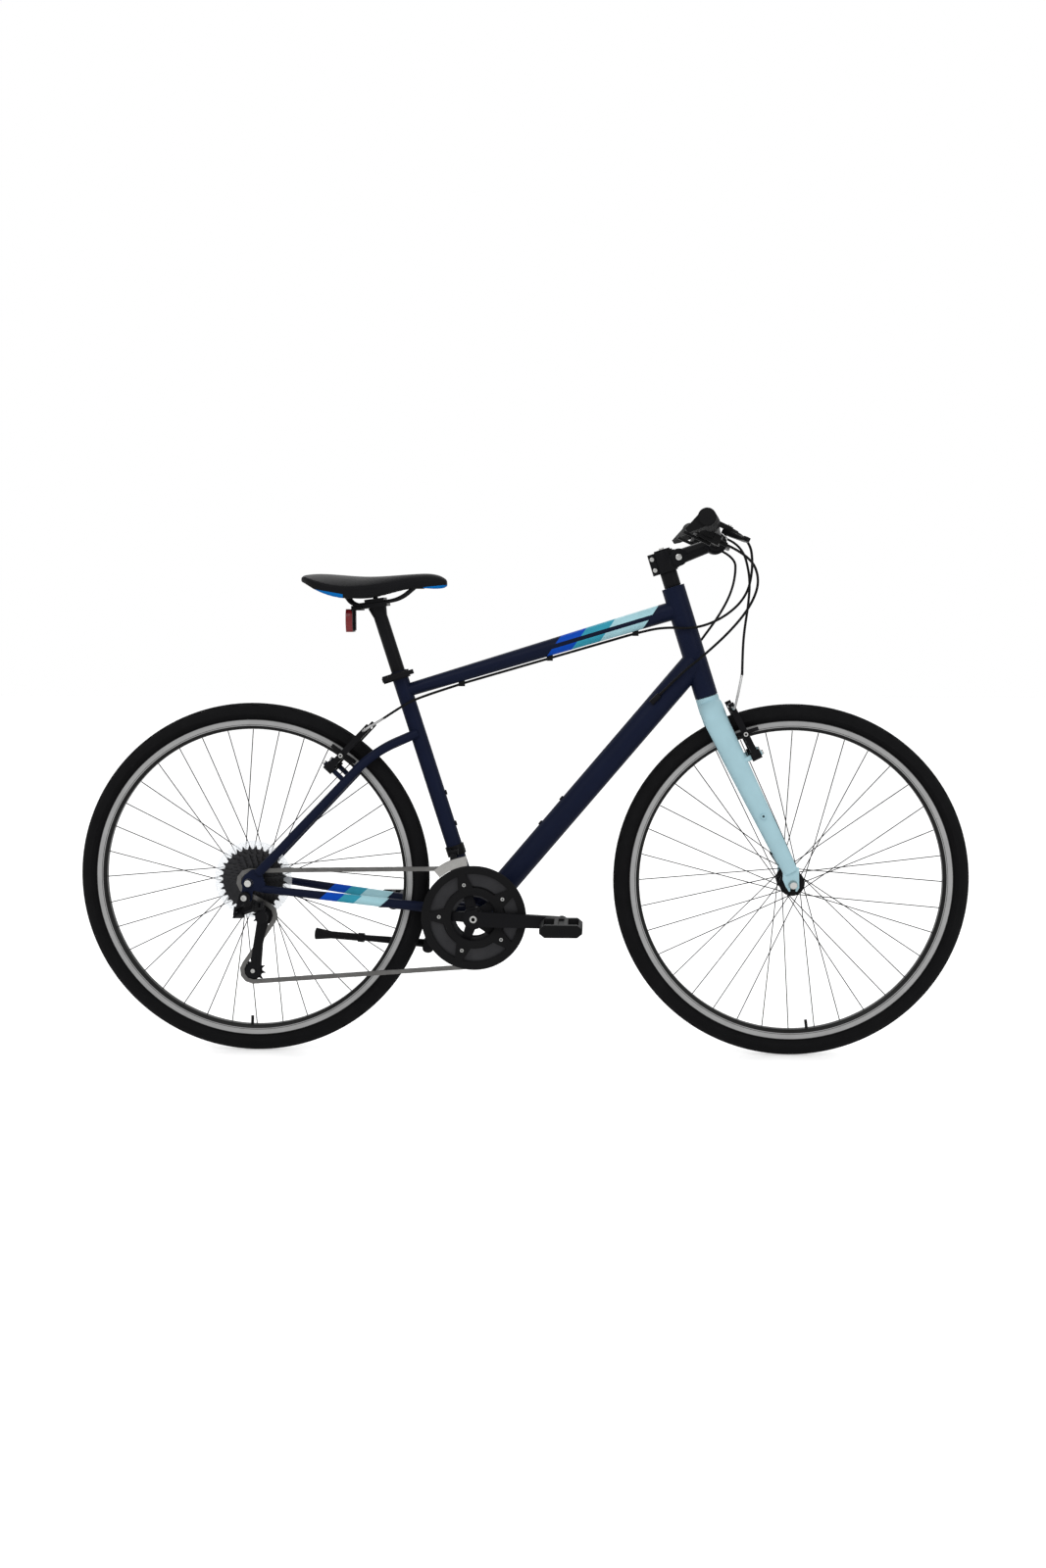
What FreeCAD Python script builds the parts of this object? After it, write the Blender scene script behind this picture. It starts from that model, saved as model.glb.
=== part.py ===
import FreeCAD, Part
import math
import os

# Hybrid bicycle, in millimetres. +X is forward, +Y is the rider's left, +Z is up.
# The origin is on the ground, midway between the axles, in the middle plane.

# Wheels
BEAD_SEAT_DIAMETER = 622.0
TYRE_WIDTH = 38.0
TYRE_WALL = 3.0
TREAD_DEPTH = 4.0
RIM_WIDTH = 24.0
RIM_DEPTH = 20.0
RIM_FLANGE_HEIGHT = 6.0
RIM_WALL = 2.4
TYRE_LENGTHS = 30
RIM_LENGTHS = 12
SPOKE_COUNT = 36
SPOKE_CROSSINGS = 3
SPOKE_DIAMETER = 2.0
AXLE_DIAMETER = 10.0
HUB_BARREL_DIAMETER = 26.0
HUB_FLANGE_DIAMETER = 50.0
HUB_FLANGE_THICKNESS = 3.0
FRONT_HUB_SPACING = 100.0
REAR_HUB_SPACING = 135.0
FRONT_FLANGE_OFFSET = 34.0
REAR_FLANGE_LEFT = 36.0
REAR_FLANGE_RIGHT = 17.0
VALVE_DIAMETER = 6.0
VALVE_LENGTH = 36.0

# Frame and fork layout
TYRE_TO_TYRE = 364.0
TYRE_TO_SHELL_AXIS = 97.0
BOTTOM_BRACKET_DROP = 68.0
HEAD_ANGLE = 72.5
SEAT_ANGLE = 72.4
FORK_OFFSET = 51.0
TYRE_TO_CROWN_TOP = 47.0
HEAD_TUBE_LENGTH = 223.0
HEAD_TUBE_DIAMETER = 45.0
HEAD_TUBE_BORE = 36.0
SEAT_TUBE_LENGTH = 503.0
SEAT_TUBE_DIAMETER = 31.8
SEATPOST_DIAMETER = 27.2
SHELL_DIAMETER = 42.0
SHELL_WIDTH = 68.0
SHELL_BORE = 34.0
TUBE_WALL = 1.8
TOP_TUBE_BELOW_SEAT_TOP = 41.0
TOP_TUBE_BELOW_HEAD_TOP = 44.0
TOP_TUBE_SEAT_DIAMETER = 26.0
TOP_TUBE_HEAD_DIAMETER = 37.0
TOP_TUBE_SHARES = (0.0, 0.09, 0.88, 1.0)
DOWN_TUBE_ABOVE_HEAD_BOTTOM = 72.0
DOWN_TUBE_DROP_AT_SHELL = 9.0
DOWN_TUBE_DIAMETER = 49.0
CHAINSTAY_SHELL_DIAMETER = 21.5
CHAINSTAY_AXLE_DIAMETER = 15.0
SEATSTAY_DIAMETER = 18.0
SEATSTAY_BELOW_SEAT_TOP = 127.0
SEATSTAY_BEND_BACK = 86.0
SEATSTAY_BEND_DROP = 38.0
DROPOUT_THICKNESS = 6.0
STEERER_DIAMETER = 28.6
BLADE_DEPTH_TOP = 46.0
BLADE_DEPTH_BOTTOM = 29.0
BLADE_WIDTH_TOP = 24.0
BLADE_WIDTH_BOTTOM = 15.0
BLADE_SPREAD_TOP = 38.0
HEADSET_GAP = 1.5

# Drive
PITCH = 12.7
RING_TEETH = (28, 38, 48)
RING_SPACING = 8.0
COG_TEETH = (11, 13, 15, 18, 21, 24, 28, 32)
COG_SPACING = 4.7
PULLEY_TEETH = 11
CHAIN_LINE = 58.0
SPROCKET_THICKNESS = 1.8
CHAIN_WIDTH = 6.4
PLATE_THICKNESS = 0.8
PLATE_HEIGHT = 8.4
CRANK_LENGTH = 172.5
CRANK_THICKNESS = 13.0
SPINDLE_DIAMETER = 17.0
GUARD_RADIUS = 103.0
GUARD_BAND_INNER = 87.0
GUARD_RING_OUTER = 60.0
GUARD_RING_INNER = 45.0
PEDAL_LENGTH = 82.0
PEDAL_WIDTH = 92.0
PEDAL_HEIGHT = 24.0
PEDAL_AXLE_DIAMETER = 10.0
CAGE_LENGTH = 113.0
GUIDE_AHEAD = 27.0
GUIDE_BELOW = 66.0
SHIFT_LINK_LENGTH = 40.0
SHIFT_LINK_ANGLE = 32.5
SHIFT_SLANT = 40.0

# Brakes
FRONT_PIVOT_INSIDE_BEAD = 48.4
FRONT_PIVOT_ANGLE = 106.4
REAR_PIVOT_INSIDE_BEAD = 36.0
REAR_PIVOT_ANGLE = 54.9
BRAKE_PIVOT_SPREAD = 44.0
BRAKE_ARM_LENGTH = 108.0
BOSS_DIAMETER = 10.0
PAD_LENGTH = 58.0
PAD_GAP = 2.0
PAD_BELOW_BEAD_SEAT = 3.0

# Cockpit and seat
STEM_ABOVE_HEAD = 51.5
STEM_REACH = 102.5
STEM_BASE_HEIGHT = 42.0
BAR_DIAMETER = 22.2
BAR_CLAMP_DIAMETER = 31.8
BAR_HALF_WIDTH = 312.0
BAR_RISE = 37.0
BAR_SWEEP = 34.0
GRIP_LENGTH = 130.0
GRIP_DIAMETER = 33.0
LEVER_TILT = 25.0
SEATPOST_SHOWN = 137.0
SEATPOST_INSERTION = 130.0
SADDLE_LENGTH = 280.0
SADDLE_WIDTH = 168.0
SADDLE_REAR_BEHIND_POST = 140.0
RAIL_DIAMETER = 7.0
RAIL_SPREAD = 22.0
KICKSTAND_LEG_LENGTH = 236.0

# Fits
RUNNING_FIT = 0.05
SLIDING_FIT = 0.1
CLEAR = 0.3

V = FreeCAD.Vector
X_AXIS = V(1, 0, 0)
Y_AXIS = V(0, 1, 0)
Z_AXIS = V(0, 0, 1)

WHEEL_RADIUS = BEAD_SEAT_DIAMETER / 2 + TYRE_WIDTH
WHEELBASE = 2 * WHEEL_RADIUS + TYRE_TO_TYRE
CHAINSTAY_LENGTH = WHEEL_RADIUS + TYRE_TO_SHELL_AXIS
AXLE_TO_CROWN = WHEEL_RADIUS + TYRE_TO_CROWN_TOP
FRONT_PIVOT_RADIUS = BEAD_SEAT_DIAMETER / 2 - FRONT_PIVOT_INSIDE_BEAD
REAR_PIVOT_RADIUS = BEAD_SEAT_DIAMETER / 2 - REAR_PIVOT_INSIDE_BEAD
RIM_OUTER = BEAD_SEAT_DIAMETER / 2 + RIM_FLANGE_HEIGHT
RIM_INNER = RIM_OUTER - RIM_DEPTH
AXLE_RADIUS = AXLE_DIAMETER / 2
REAR_AXLE = V(-WHEELBASE / 2, 0, WHEEL_RADIUS)
FRONT_AXLE = V(WHEELBASE / 2, 0, WHEEL_RADIUS)
SHELL_AHEAD = math.sqrt(CHAINSTAY_LENGTH ** 2 - BOTTOM_BRACKET_DROP ** 2)
SHELL = REAR_AXLE + V(SHELL_AHEAD, 0, -BOTTOM_BRACKET_DROP)
HEAD_TILT = math.radians(HEAD_ANGLE)
SEAT_TILT = math.radians(SEAT_ANGLE)
STEER_UP = V(-math.cos(HEAD_TILT), 0, math.sin(HEAD_TILT))
STEER_AHEAD = V(math.sin(HEAD_TILT), 0, math.cos(HEAD_TILT))
SEAT_UP = V(-math.cos(SEAT_TILT), 0, math.sin(SEAT_TILT))
SEAT_AHEAD = V(math.sin(SEAT_TILT), 0, math.cos(SEAT_TILT))
HEAD_BOTTOM = AXLE_TO_CROWN + HEADSET_GAP
HEAD_TOP = HEAD_BOTTOM + HEAD_TUBE_LENGTH
STEM_STATION = HEAD_TOP + STEM_ABOVE_HEAD
SEATPOST_STATION = SEAT_TUBE_LENGTH + SEATPOST_SHOWN
SEATSTAY_JOINT = SEAT_TUBE_LENGTH - SEATSTAY_BELOW_SEAT_TOP


def on_steer(up, ahead=0.0, left=0.0):
    """Point by its height along the steering axis, from the foot of the axle."""
    return FRONT_AXLE + STEER_AHEAD * (ahead - FORK_OFFSET) + STEER_UP * up + Y_AXIS * left


def on_seat(up, ahead=0.0, left=0.0):
    """Point by its height along the seat tube, from the bottom bracket."""
    return SHELL + SEAT_UP * up + SEAT_AHEAD * ahead + Y_AXIS * left


def polar(center, radius, degrees, left=0.0):
    """Point round an axle, with the angle counted up from straight ahead."""
    turn = math.radians(degrees)
    return V(center.x + radius * math.cos(turn), left, center.z + radius * math.sin(turn))


# Basic solids

def rod(start, end, radius):
    return Part.makeCylinder(radius, (end - start).Length, start, end - start)


def taper(start, end, start_radius, end_radius):
    return Part.makeCone(start_radius, end_radius, (end - start).Length, start, end - start)


def sleeve(start, end, outer, inner):
    return rod(start, end, outer).cut(rod(start, end, inner))


def prism(points, depth):
    return Part.Face(Part.makePolygon(points + points[:1])).extrude(depth)


def box(low, high):
    size = high - low
    return Part.makeBox(size.x, size.y, size.z, low)


def ring_of_points(center, along, radius, sides):
    """Closed regular polygon square to a direction."""
    way = V(along).normalize()
    side = way.cross(V(0.3, 0.9, 0.1)).normalize()
    other = way.cross(side)
    points = []
    for k in range(sides + 1):
        turn = 2 * math.pi * (k % sides) / sides
        points.append(center + side * (radius * math.cos(turn)) + other * (radius * math.sin(turn)))
    return points


def bar_prism(start, end, radius, sides):
    """Straight bar with a regular polygon for its section."""
    return prism(ring_of_points(start, end - start, radius, sides)[:-1], end - start)


def turned(center, profile):
    """Solid of revolution about the axle through center: profile is (radius, left) pairs."""
    points = [V(center.x, left, center.z + radius) for radius, left in profile]
    face = Part.Face(Part.makePolygon(points + points[:1]))
    return face.revolve(center, Y_AXIS, 360)


def turned_lengths(center, profile, count):
    """Ring turned in equal lengths that meet end to end, each of them nearly straight."""
    step = 360.0 / count
    points = [V(center.x, left, center.z + radius) for radius, left in profile]
    first = Part.Face(Part.makePolygon(points + points[:1])).revolve(center, Y_AXIS, step)
    lengths = []
    for k in range(count):
        length = first.copy()
        length.rotate(center, Y_AXIS, step * k)
        lengths.append(length)
    return lengths


def fused(shapes):
    """One solid of several that meet."""
    return shapes[0].multiFuse(shapes[1:]).removeSplitter()


def mirrored(shape):
    """The same piece on the other side of the middle plane."""
    return shape.mirror(V(0, 0, 0), Y_AXIS)


def placed(shape, origin, ahead, up):
    """Piece drawn about its own origin, set with its X along ahead and its Z along up."""
    side = up.cross(ahead)
    turn = FreeCAD.Rotation(ahead, side, up, "ZXY")
    moved = shape.copy()
    moved.Placement = FreeCAD.Placement(origin, turn).multiply(shape.Placement)
    return moved


def ellipse(center, across, up, half_across, half_up):
    """Elliptical section whose seam always lies on the across side."""
    if half_across >= half_up:
        curve = Part.Ellipse(center + across * half_across, center + up * half_up, center)
        first = 0.0
    else:
        curve = Part.Ellipse(center + up * half_up, center - across * half_across, center)
        first = -math.pi / 2
    return Part.Wire(curve.toShape(first, first + 2 * math.pi))


def route(points):
    """Straight runs joined by tangent arcs, each as large as its two runs allow."""
    edges = []
    last = points[0]
    for before, corner, after in zip(points, points[1:], points[2:]):
        back = (before - corner)
        front = (after - corner)
        reach = 0.45 * min(back.Length, front.Length)
        back.normalize()
        front.normalize()
        half_turn = (math.pi - back.getAngle(front)) / 2
        radius = reach / math.tan(half_turn)
        start = corner + back * reach
        end = corner + front * reach
        inward = (back + front).normalize()
        middle = corner + inward * (radius / math.cos(half_turn) - radius)
        edges.append(Part.LineSegment(last, start).toShape())
        edges.append(Part.Arc(start, middle, end).toShape())
        last = end
    edges.append(Part.LineSegment(last, points[-1]).toShape())
    return Part.Wire(edges)


def swept(points, radius, sides=0):
    """Bar or cable along a route: round, or with a many-sided section."""
    path = route(points)
    if sides:
        section = Part.makePolygon(ring_of_points(points[0], points[1] - points[0], radius, sides))
    else:
        section = Part.Wire(Part.makeCircle(radius, points[0], points[1] - points[0]))
    return path.makePipeShell([section], True, False)


# Frame

SEAT_TUBE_TOP = on_seat(SEAT_TUBE_LENGTH)
TOP_TUBE_REAR = on_seat(SEAT_TUBE_LENGTH - TOP_TUBE_BELOW_SEAT_TOP)
TOP_TUBE_FRONT = on_steer(HEAD_TOP - TOP_TUBE_BELOW_HEAD_TOP)
DOWN_TUBE_REAR = SHELL + V(0, 0, -DOWN_TUBE_DROP_AT_SHELL)
DOWN_TUBE_FRONT = on_steer(HEAD_BOTTOM + DOWN_TUBE_ABOVE_HEAD_BOTTOM)
SHELL_SIDE = Y_AXIS * (SHELL_WIDTH / 2)


def head_tube_envelope():
    return rod(on_steer(HEAD_BOTTOM), on_steer(HEAD_TOP), HEAD_TUBE_DIAMETER / 2)


def seat_tube_envelope():
    return rod(SHELL, SEAT_TUBE_TOP, SEAT_TUBE_DIAMETER / 2)


def shell_envelope():
    return rod(SHELL - SHELL_SIDE, SHELL + SHELL_SIDE, SHELL_DIAMETER / 2)


def head_tube():
    bore = rod(on_steer(HEAD_BOTTOM), on_steer(HEAD_TOP), HEAD_TUBE_BORE / 2)
    return head_tube_envelope().cut(bore)


def top_tube_solid(wall=0.0):
    """Tapered tube, deeper at the head, drawn as two short joints and the length between them."""
    run = TOP_TUBE_FRONT - TOP_TUBE_REAR
    thin = TOP_TUBE_SEAT_DIAMETER / 2 - wall
    gain = (TOP_TUBE_HEAD_DIAMETER - TOP_TUBE_SEAT_DIAMETER) / 2
    lengths = []
    for low, high in zip(TOP_TUBE_SHARES, TOP_TUBE_SHARES[1:]):
        start = TOP_TUBE_REAR + run * low
        end = TOP_TUBE_REAR + run * high
        lengths.append(taper(start, end, thin + gain * low, thin + gain * high))
    return lengths[0].fuse(lengths[1:])


def top_tube():
    tube = top_tube_solid().cut(top_tube_solid(TUBE_WALL))
    return tube.cut(seat_tube_envelope()).cut(head_tube_envelope())


def down_tube_solid(wall=0.0):
    return rod(DOWN_TUBE_REAR, DOWN_TUBE_FRONT, DOWN_TUBE_DIAMETER / 2 - wall)


BOSS_SPACING = 64.0
BOSS_HOLE_RADIUS = 2.5
SEAT_TUBE_BOSS = 183.0
DOWN_TUBE_BOSS = 228.0
DOWN_TUBE_WAY = (DOWN_TUBE_FRONT - DOWN_TUBE_REAR).normalize()
DOWN_TUBE_UP = V(-DOWN_TUBE_WAY.z, 0, DOWN_TUBE_WAY.x)


def seat_tube_bosses():
    """Centres on the seat tube's axis of the two bottle bosses."""
    return [on_seat(SEAT_TUBE_BOSS + BOSS_SPACING * k) for k in range(2)]


def down_tube_bosses():
    return [DOWN_TUBE_REAR + DOWN_TUBE_WAY * (DOWN_TUBE_BOSS + BOSS_SPACING * k) for k in range(2)]


def drilled(tube, centers, out):
    """Tube with the bottle boss holes through its wall."""
    for center in centers:
        tube = tube.cut(rod(center, center + out * 40, BOSS_HOLE_RADIUS))
    return tube


def down_tube():
    tube = down_tube_solid().cut(down_tube_solid(TUBE_WALL)).cut(head_tube_envelope())
    return drilled(tube.cut(shell_envelope()).cut(seat_tube_envelope()), down_tube_bosses(), DOWN_TUBE_UP)


def seat_tube():
    bore = rod(SHELL, SEAT_TUBE_TOP, SEATPOST_DIAMETER / 2 + SLIDING_FIT)
    tube = drilled(seat_tube_envelope().cut(bore).cut(shell_envelope()), seat_tube_bosses(), SEAT_AHEAD)
    shell = sleeve(SHELL - SHELL_SIDE, SHELL + SHELL_SIDE, SHELL_DIAMETER / 2, SHELL_BORE / 2)
    return Part.makeCompound([tube, shell])


# The stays are drawn for the left side and mirrored.

DROPOUT_INNER = REAR_HUB_SPACING / 2
DROPOUT_MIDDLE = DROPOUT_INNER + DROPOUT_THICKNESS / 2
CHAINSTAY_RISE_AT_SHELL = 3.0
CHAINSTAY_DROP_AT_AXLE = 9.0
CHAINSTAY_END_AHEAD = 26.0
CHAINSTAY_START_SPREAD = 20.0


def chainstay_height(x):
    """Height of the chainstay's centre line above a place along the ground."""
    along = (x - SHELL.x) / (REAR_AXLE.x - SHELL.x)
    front = SHELL.z + CHAINSTAY_RISE_AT_SHELL
    return front + along * (REAR_AXLE.z - CHAINSTAY_DROP_AT_AXLE - front)


def chainstay_point(x, left):
    return V(x, left, chainstay_height(x))


CHAINSTAY_START = chainstay_point(SHELL.x, CHAINSTAY_START_SPREAD)
CHAINSTAY_END = chainstay_point(REAR_AXLE.x + CHAINSTAY_END_AHEAD, DROPOUT_MIDDLE)
SEATSTAY_TOP = on_seat(SEATSTAY_JOINT, 0, SEATPOST_DIAMETER / 2)
SEATSTAY_BEND = SEATSTAY_TOP + V(-SEATSTAY_BEND_BACK, 22.0, -SEATSTAY_BEND_DROP)
SEATSTAY_FOOT = REAR_AXLE + V(18.0, DROPOUT_MIDDLE + 2.0, 18.0)
HANGER_BOLT = REAR_AXLE + V(-7.0, 0, -28.0)


def dropout(left):
    """Plate that carries the axle, with the derailleur hanger on the right side."""
    inner = DROPOUT_INNER if left else -DROPOUT_INNER - DROPOUT_THICKNESS
    outline = [(32, -2), (27, 14), (20, 27), (5, 25), (-7, 16), (-14, 2), (-12, -14), (8, -15), (32, -20)]
    corners = [V(REAR_AXLE.x + x, inner, REAR_AXLE.z + z) for x, z in outline]
    plate = prism(corners, Y_AXIS * DROPOUT_THICKNESS)
    through = Y_AXIS * DROPOUT_THICKNESS
    if not left:
        hanger = [(-12, -8), (9, -10), (5, -36), (-18, -36)]
        corners = [V(REAR_AXLE.x + x, inner, REAR_AXLE.z + z) for x, z in hanger]
        bolt = V(HANGER_BOLT.x, inner, HANGER_BOLT.z)
        plate = plate.fuse(prism(corners, through)).cut(rod(bolt, bolt + through, AXLE_RADIUS))
    axle = V(REAR_AXLE.x, inner, REAR_AXLE.z)
    slot_low = V(axle.x - AXLE_RADIUS - CLEAR, inner, axle.z - 40.0)
    slot_high = V(axle.x + AXLE_RADIUS + CLEAR, inner + DROPOUT_THICKNESS, axle.z)
    slot = rod(axle, axle + through, AXLE_RADIUS + CLEAR)
    if left:
        slot = slot.fuse(box(slot_low, slot_high))
    return plate.cut(slot)


def chainstay():
    """Tapered stay from the bottom bracket shell to the dropout."""
    stay = taper(CHAINSTAY_START, CHAINSTAY_END, CHAINSTAY_SHELL_DIAMETER / 2, CHAINSTAY_AXLE_DIAMETER / 2)
    return stay.cut(shell_envelope())


def chainstays():
    stay = chainstay()
    left = dropout(True)
    right = dropout(False)
    return Part.makeCompound([stay.cut(left), left, mirrored(stay).cut(right), right])


def seatstay():
    """Bent round tube with the brake boss on its back."""
    stay = swept([SEATSTAY_TOP, SEATSTAY_BEND, SEATSTAY_FOOT], SEATSTAY_DIAMETER / 2)
    return fused([stay, rod(REAR_BRAKE["root"], REAR_BRAKE["boss_end"], BOSS_DIAMETER / 2)])


def seatstays():
    """Both stays and the bridge between them, above the tyre."""
    stay = seatstay()
    middle = (SEATSTAY_TOP + SEATSTAY_BEND) * 0.5
    bridge = rod(V(middle.x, 0, middle.z), middle, SEATSTAY_DIAMETER / 3)
    half = fused([stay, bridge]).cut(seat_tube_envelope())
    left = half.cut(dropout(True)).cut(chainstay())
    right = mirrored(half).cut(dropout(False)).cut(mirrored(chainstay()))
    return fused([left, right])


def bearing_cups():
    """Headset races in the head tube and bottom bracket cups in the shell."""
    cup_depth = 12.0
    bore = STEERER_DIAMETER / 2 + RUNNING_FIT
    cups = []
    for low in (HEAD_BOTTOM, HEAD_TOP - cup_depth):
        cups.append(sleeve(on_steer(low), on_steer(low + cup_depth), HEAD_TUBE_BORE / 2, bore))
    spindle_bore = SPINDLE_DIAMETER / 2 + RUNNING_FIT
    for side in (-1, 1):
        face = SHELL + SHELL_SIDE * side
        inner = face - Y_AXIS * (side * cup_depth)
        outer = face + Y_AXIS * (side * 2.0)
        cup = fused([rod(inner, face, SHELL_BORE / 2), rod(face, outer, SHELL_DIAMETER / 2 - 1)])
        cups.append(cup.cut(rod(inner, outer, spindle_bore)))
    return Part.makeCompound(cups)


# Brake layout, for the left arm: u runs up the arm and b out along the boss.

def brake_layout(axle, pivot_radius, pivot_angle, blade_top, blade_end, forward):
    pivot = polar(axle, pivot_radius, pivot_angle, BRAKE_PIVOT_SPREAD)
    blade = (blade_top - blade_end).normalize()
    blade = V(blade.x, 0, blade.z).normalize()
    out = V(blade.z, 0, -blade.x) * (1 if forward else -1)
    offset = pivot - blade_end
    along = offset.dot(blade)
    share = along / V(blade_top.x - blade_end.x, 0, blade_top.z - blade_end.z).Length
    root = blade_end + (blade_top - blade_end) * share
    root = V(root.x, BRAKE_PIVOT_SPREAD, root.z)
    track = RIM_OUTER - RIM_FLANGE_HEIGHT - PAD_BELOW_BEAD_SEAT
    radial = V(pivot.x - axle.x, 0, pivot.z - axle.z)
    lean = radial.dot(blade)
    reach = -lean + math.sqrt(lean ** 2 + track ** 2 - radial.Length ** 2)
    boss_end = pivot + out * 13.0
    spoke = radial + blade * reach
    tilt = math.degrees(math.atan2(spoke.dot(out), spoke.dot(blade)))
    return {"pivot": pivot, "up": blade, "out": out, "root": root, "pad": reach, "tilt": tilt,
            "boss_end": boss_end}


REAR_BRAKE = brake_layout(
    REAR_AXLE, REAR_PIVOT_RADIUS, REAR_PIVOT_ANGLE, SEATSTAY_BEND, SEATSTAY_FOOT, False)


# Fork: unicrown blades that flow out of the crown, drawn for the left side.

BLADE_END = FRONT_AXLE + V(-4.0, FRONT_HUB_SPACING / 2 + DROPOUT_THICKNESS / 2, 24.0)
BLADE_SHOULDER = on_steer(AXLE_TO_CROWN - 52.0, 3.0, BLADE_SPREAD_TOP)
FRONT_BRAKE = brake_layout(
    FRONT_AXLE, FRONT_PIVOT_RADIUS, FRONT_PIVOT_ANGLE, BLADE_SHOULDER, BLADE_END, True)
EYELET_SHARE = 0.62
EYELET_RADIUS = 5.0
EYELET_HOLE_RADIUS = 2.5


def blade_point(share):
    return BLADE_SHOULDER + (BLADE_END - BLADE_SHOULDER) * share


BLADE_DOWN = (BLADE_END - BLADE_SHOULDER).normalize()
BLADE_AHEAD = BLADE_DOWN.cross(Y_AXIS).normalize()
BLADE_SIDE = BLADE_DOWN.cross(BLADE_AHEAD).normalize()


def fork_dropout():
    """Slotted plate below the foot of the blade."""
    inner = FRONT_HUB_SPACING / 2
    outline = [(-19, 30), (11, 34), (12, -6), (8, -13), (-8, -13), (-14, -4), (-20, 10)]
    corners = [V(FRONT_AXLE.x + x, inner, FRONT_AXLE.z + z) for x, z in outline]
    through = Y_AXIS * DROPOUT_THICKNESS
    axle = V(FRONT_AXLE.x, inner, FRONT_AXLE.z)
    half = AXLE_RADIUS + CLEAR
    slot = box(V(axle.x - half, inner, axle.z - 30), V(axle.x + half, inner + DROPOUT_THICKNESS, axle.z))
    plate = prism(corners, through)
    return plate.cut(slot).cut(rod(axle, axle + through, half)).cut(fork_blade())


def blade_section(center, depth, width):
    return ellipse(center, BLADE_AHEAD, BLADE_SIDE, depth / 2, width / 2)


def fork_blade():
    top = blade_section(BLADE_SHOULDER, BLADE_DEPTH_TOP, BLADE_WIDTH_TOP)
    foot = blade_section(BLADE_END, BLADE_DEPTH_BOTTOM, BLADE_WIDTH_BOTTOM)
    return Part.makeLoft([top, foot], True, True)


def crown_section(up, left, lean, depth, width):
    """Section of the crown's arch: lean is how far its run has turned down from level."""
    turn = math.radians(lean)
    way = Y_AXIS * math.cos(turn) - STEER_UP * math.sin(turn)
    rise = way.cross(STEER_AHEAD).normalize()
    return ellipse(on_steer(up, 2.0, left), STEER_AHEAD, rise, depth / 2, width / 2)


def fork_crown():
    """Arch that carries both blades, in one smooth bend from shoulder to shoulder."""
    shoulder = blade_section(BLADE_SHOULDER, BLADE_DEPTH_TOP, BLADE_WIDTH_TOP)
    bend = (AXLE_TO_CROWN - 26.0, BLADE_SPREAD_TOP * 0.7, 48.0, BLADE_DEPTH_TOP, BLADE_WIDTH_TOP + 4)
    left = Part.makeLoft([crown_section(AXLE_TO_CROWN - 18.0, 0.0, 0.0, BLADE_DEPTH_TOP, 30.0),
                          crown_section(*bend), shoulder], True, False)
    return left


def fork():
    """Blades, crown, bosses and dropouts welded up, with the steerer tube standing in the crown."""
    blade = fork_blade()
    boss = rod(FRONT_BRAKE["root"], FRONT_BRAKE["boss_end"], BOSS_DIAMETER / 2).cut(blade)
    eyelet = blade_point(EYELET_SHARE)
    side = Y_AXIS * (BLADE_WIDTH_TOP / 2 + 1.0)
    lug = sleeve(eyelet, eyelet + side, EYELET_RADIUS, EYELET_HOLE_RADIUS).cut(blade)
    blade = blade.cut(rod(eyelet + Y_AXIS, eyelet + side, EYELET_HOLE_RADIUS))
    left = [blade, fork_dropout()] + boss.Solids + lug.Solids
    half_crown = fork_crown()
    left.append(half_crown)
    race = rod(on_steer(AXLE_TO_CROWN - 30), on_steer(AXLE_TO_CROWN), HEAD_TUBE_DIAMETER / 2)
    race = race.cut(half_crown).cut(mirrored(half_crown))
    steerer = sleeve(
        on_steer(AXLE_TO_CROWN), on_steer(STEM_STATION + STEM_BASE_HEIGHT / 2),
        STEERER_DIAMETER / 2, STEERER_DIAMETER / 2 - 2.4)
    tops = [part for part in race.Solids if part.CenterOfMass.z > on_steer(AXLE_TO_CROWN - 18).z]
    return Part.makeCompound(left + [mirrored(part) for part in left] + [steerer] + tops)


# Cockpit

BAR_CENTER = on_steer(STEM_STATION + 4.0, STEM_REACH)
STEM_BOTTOM = STEM_STATION - STEM_BASE_HEIGHT / 2
STEM_TOP = STEM_STATION + STEM_BASE_HEIGHT / 2
STEM_PIVOT_AHEAD = 27.0
BAR_BEND_LOW = BAR_CENTER + V(0, 34.0, 0)
BAR_BEND_HIGH = BAR_CENTER + V(-8.0, 88.0, BAR_RISE * 0.76)
BAR_END = BAR_CENTER + V(-BAR_SWEEP, BAR_HALF_WIDTH, BAR_RISE)
BAR_OUT = (BAR_END - BAR_BEND_HIGH).normalize()


def bar_point(from_end):
    """Point on the left outer run of the bar, by its distance from the end."""
    return BAR_END - BAR_OUT * from_end


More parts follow.
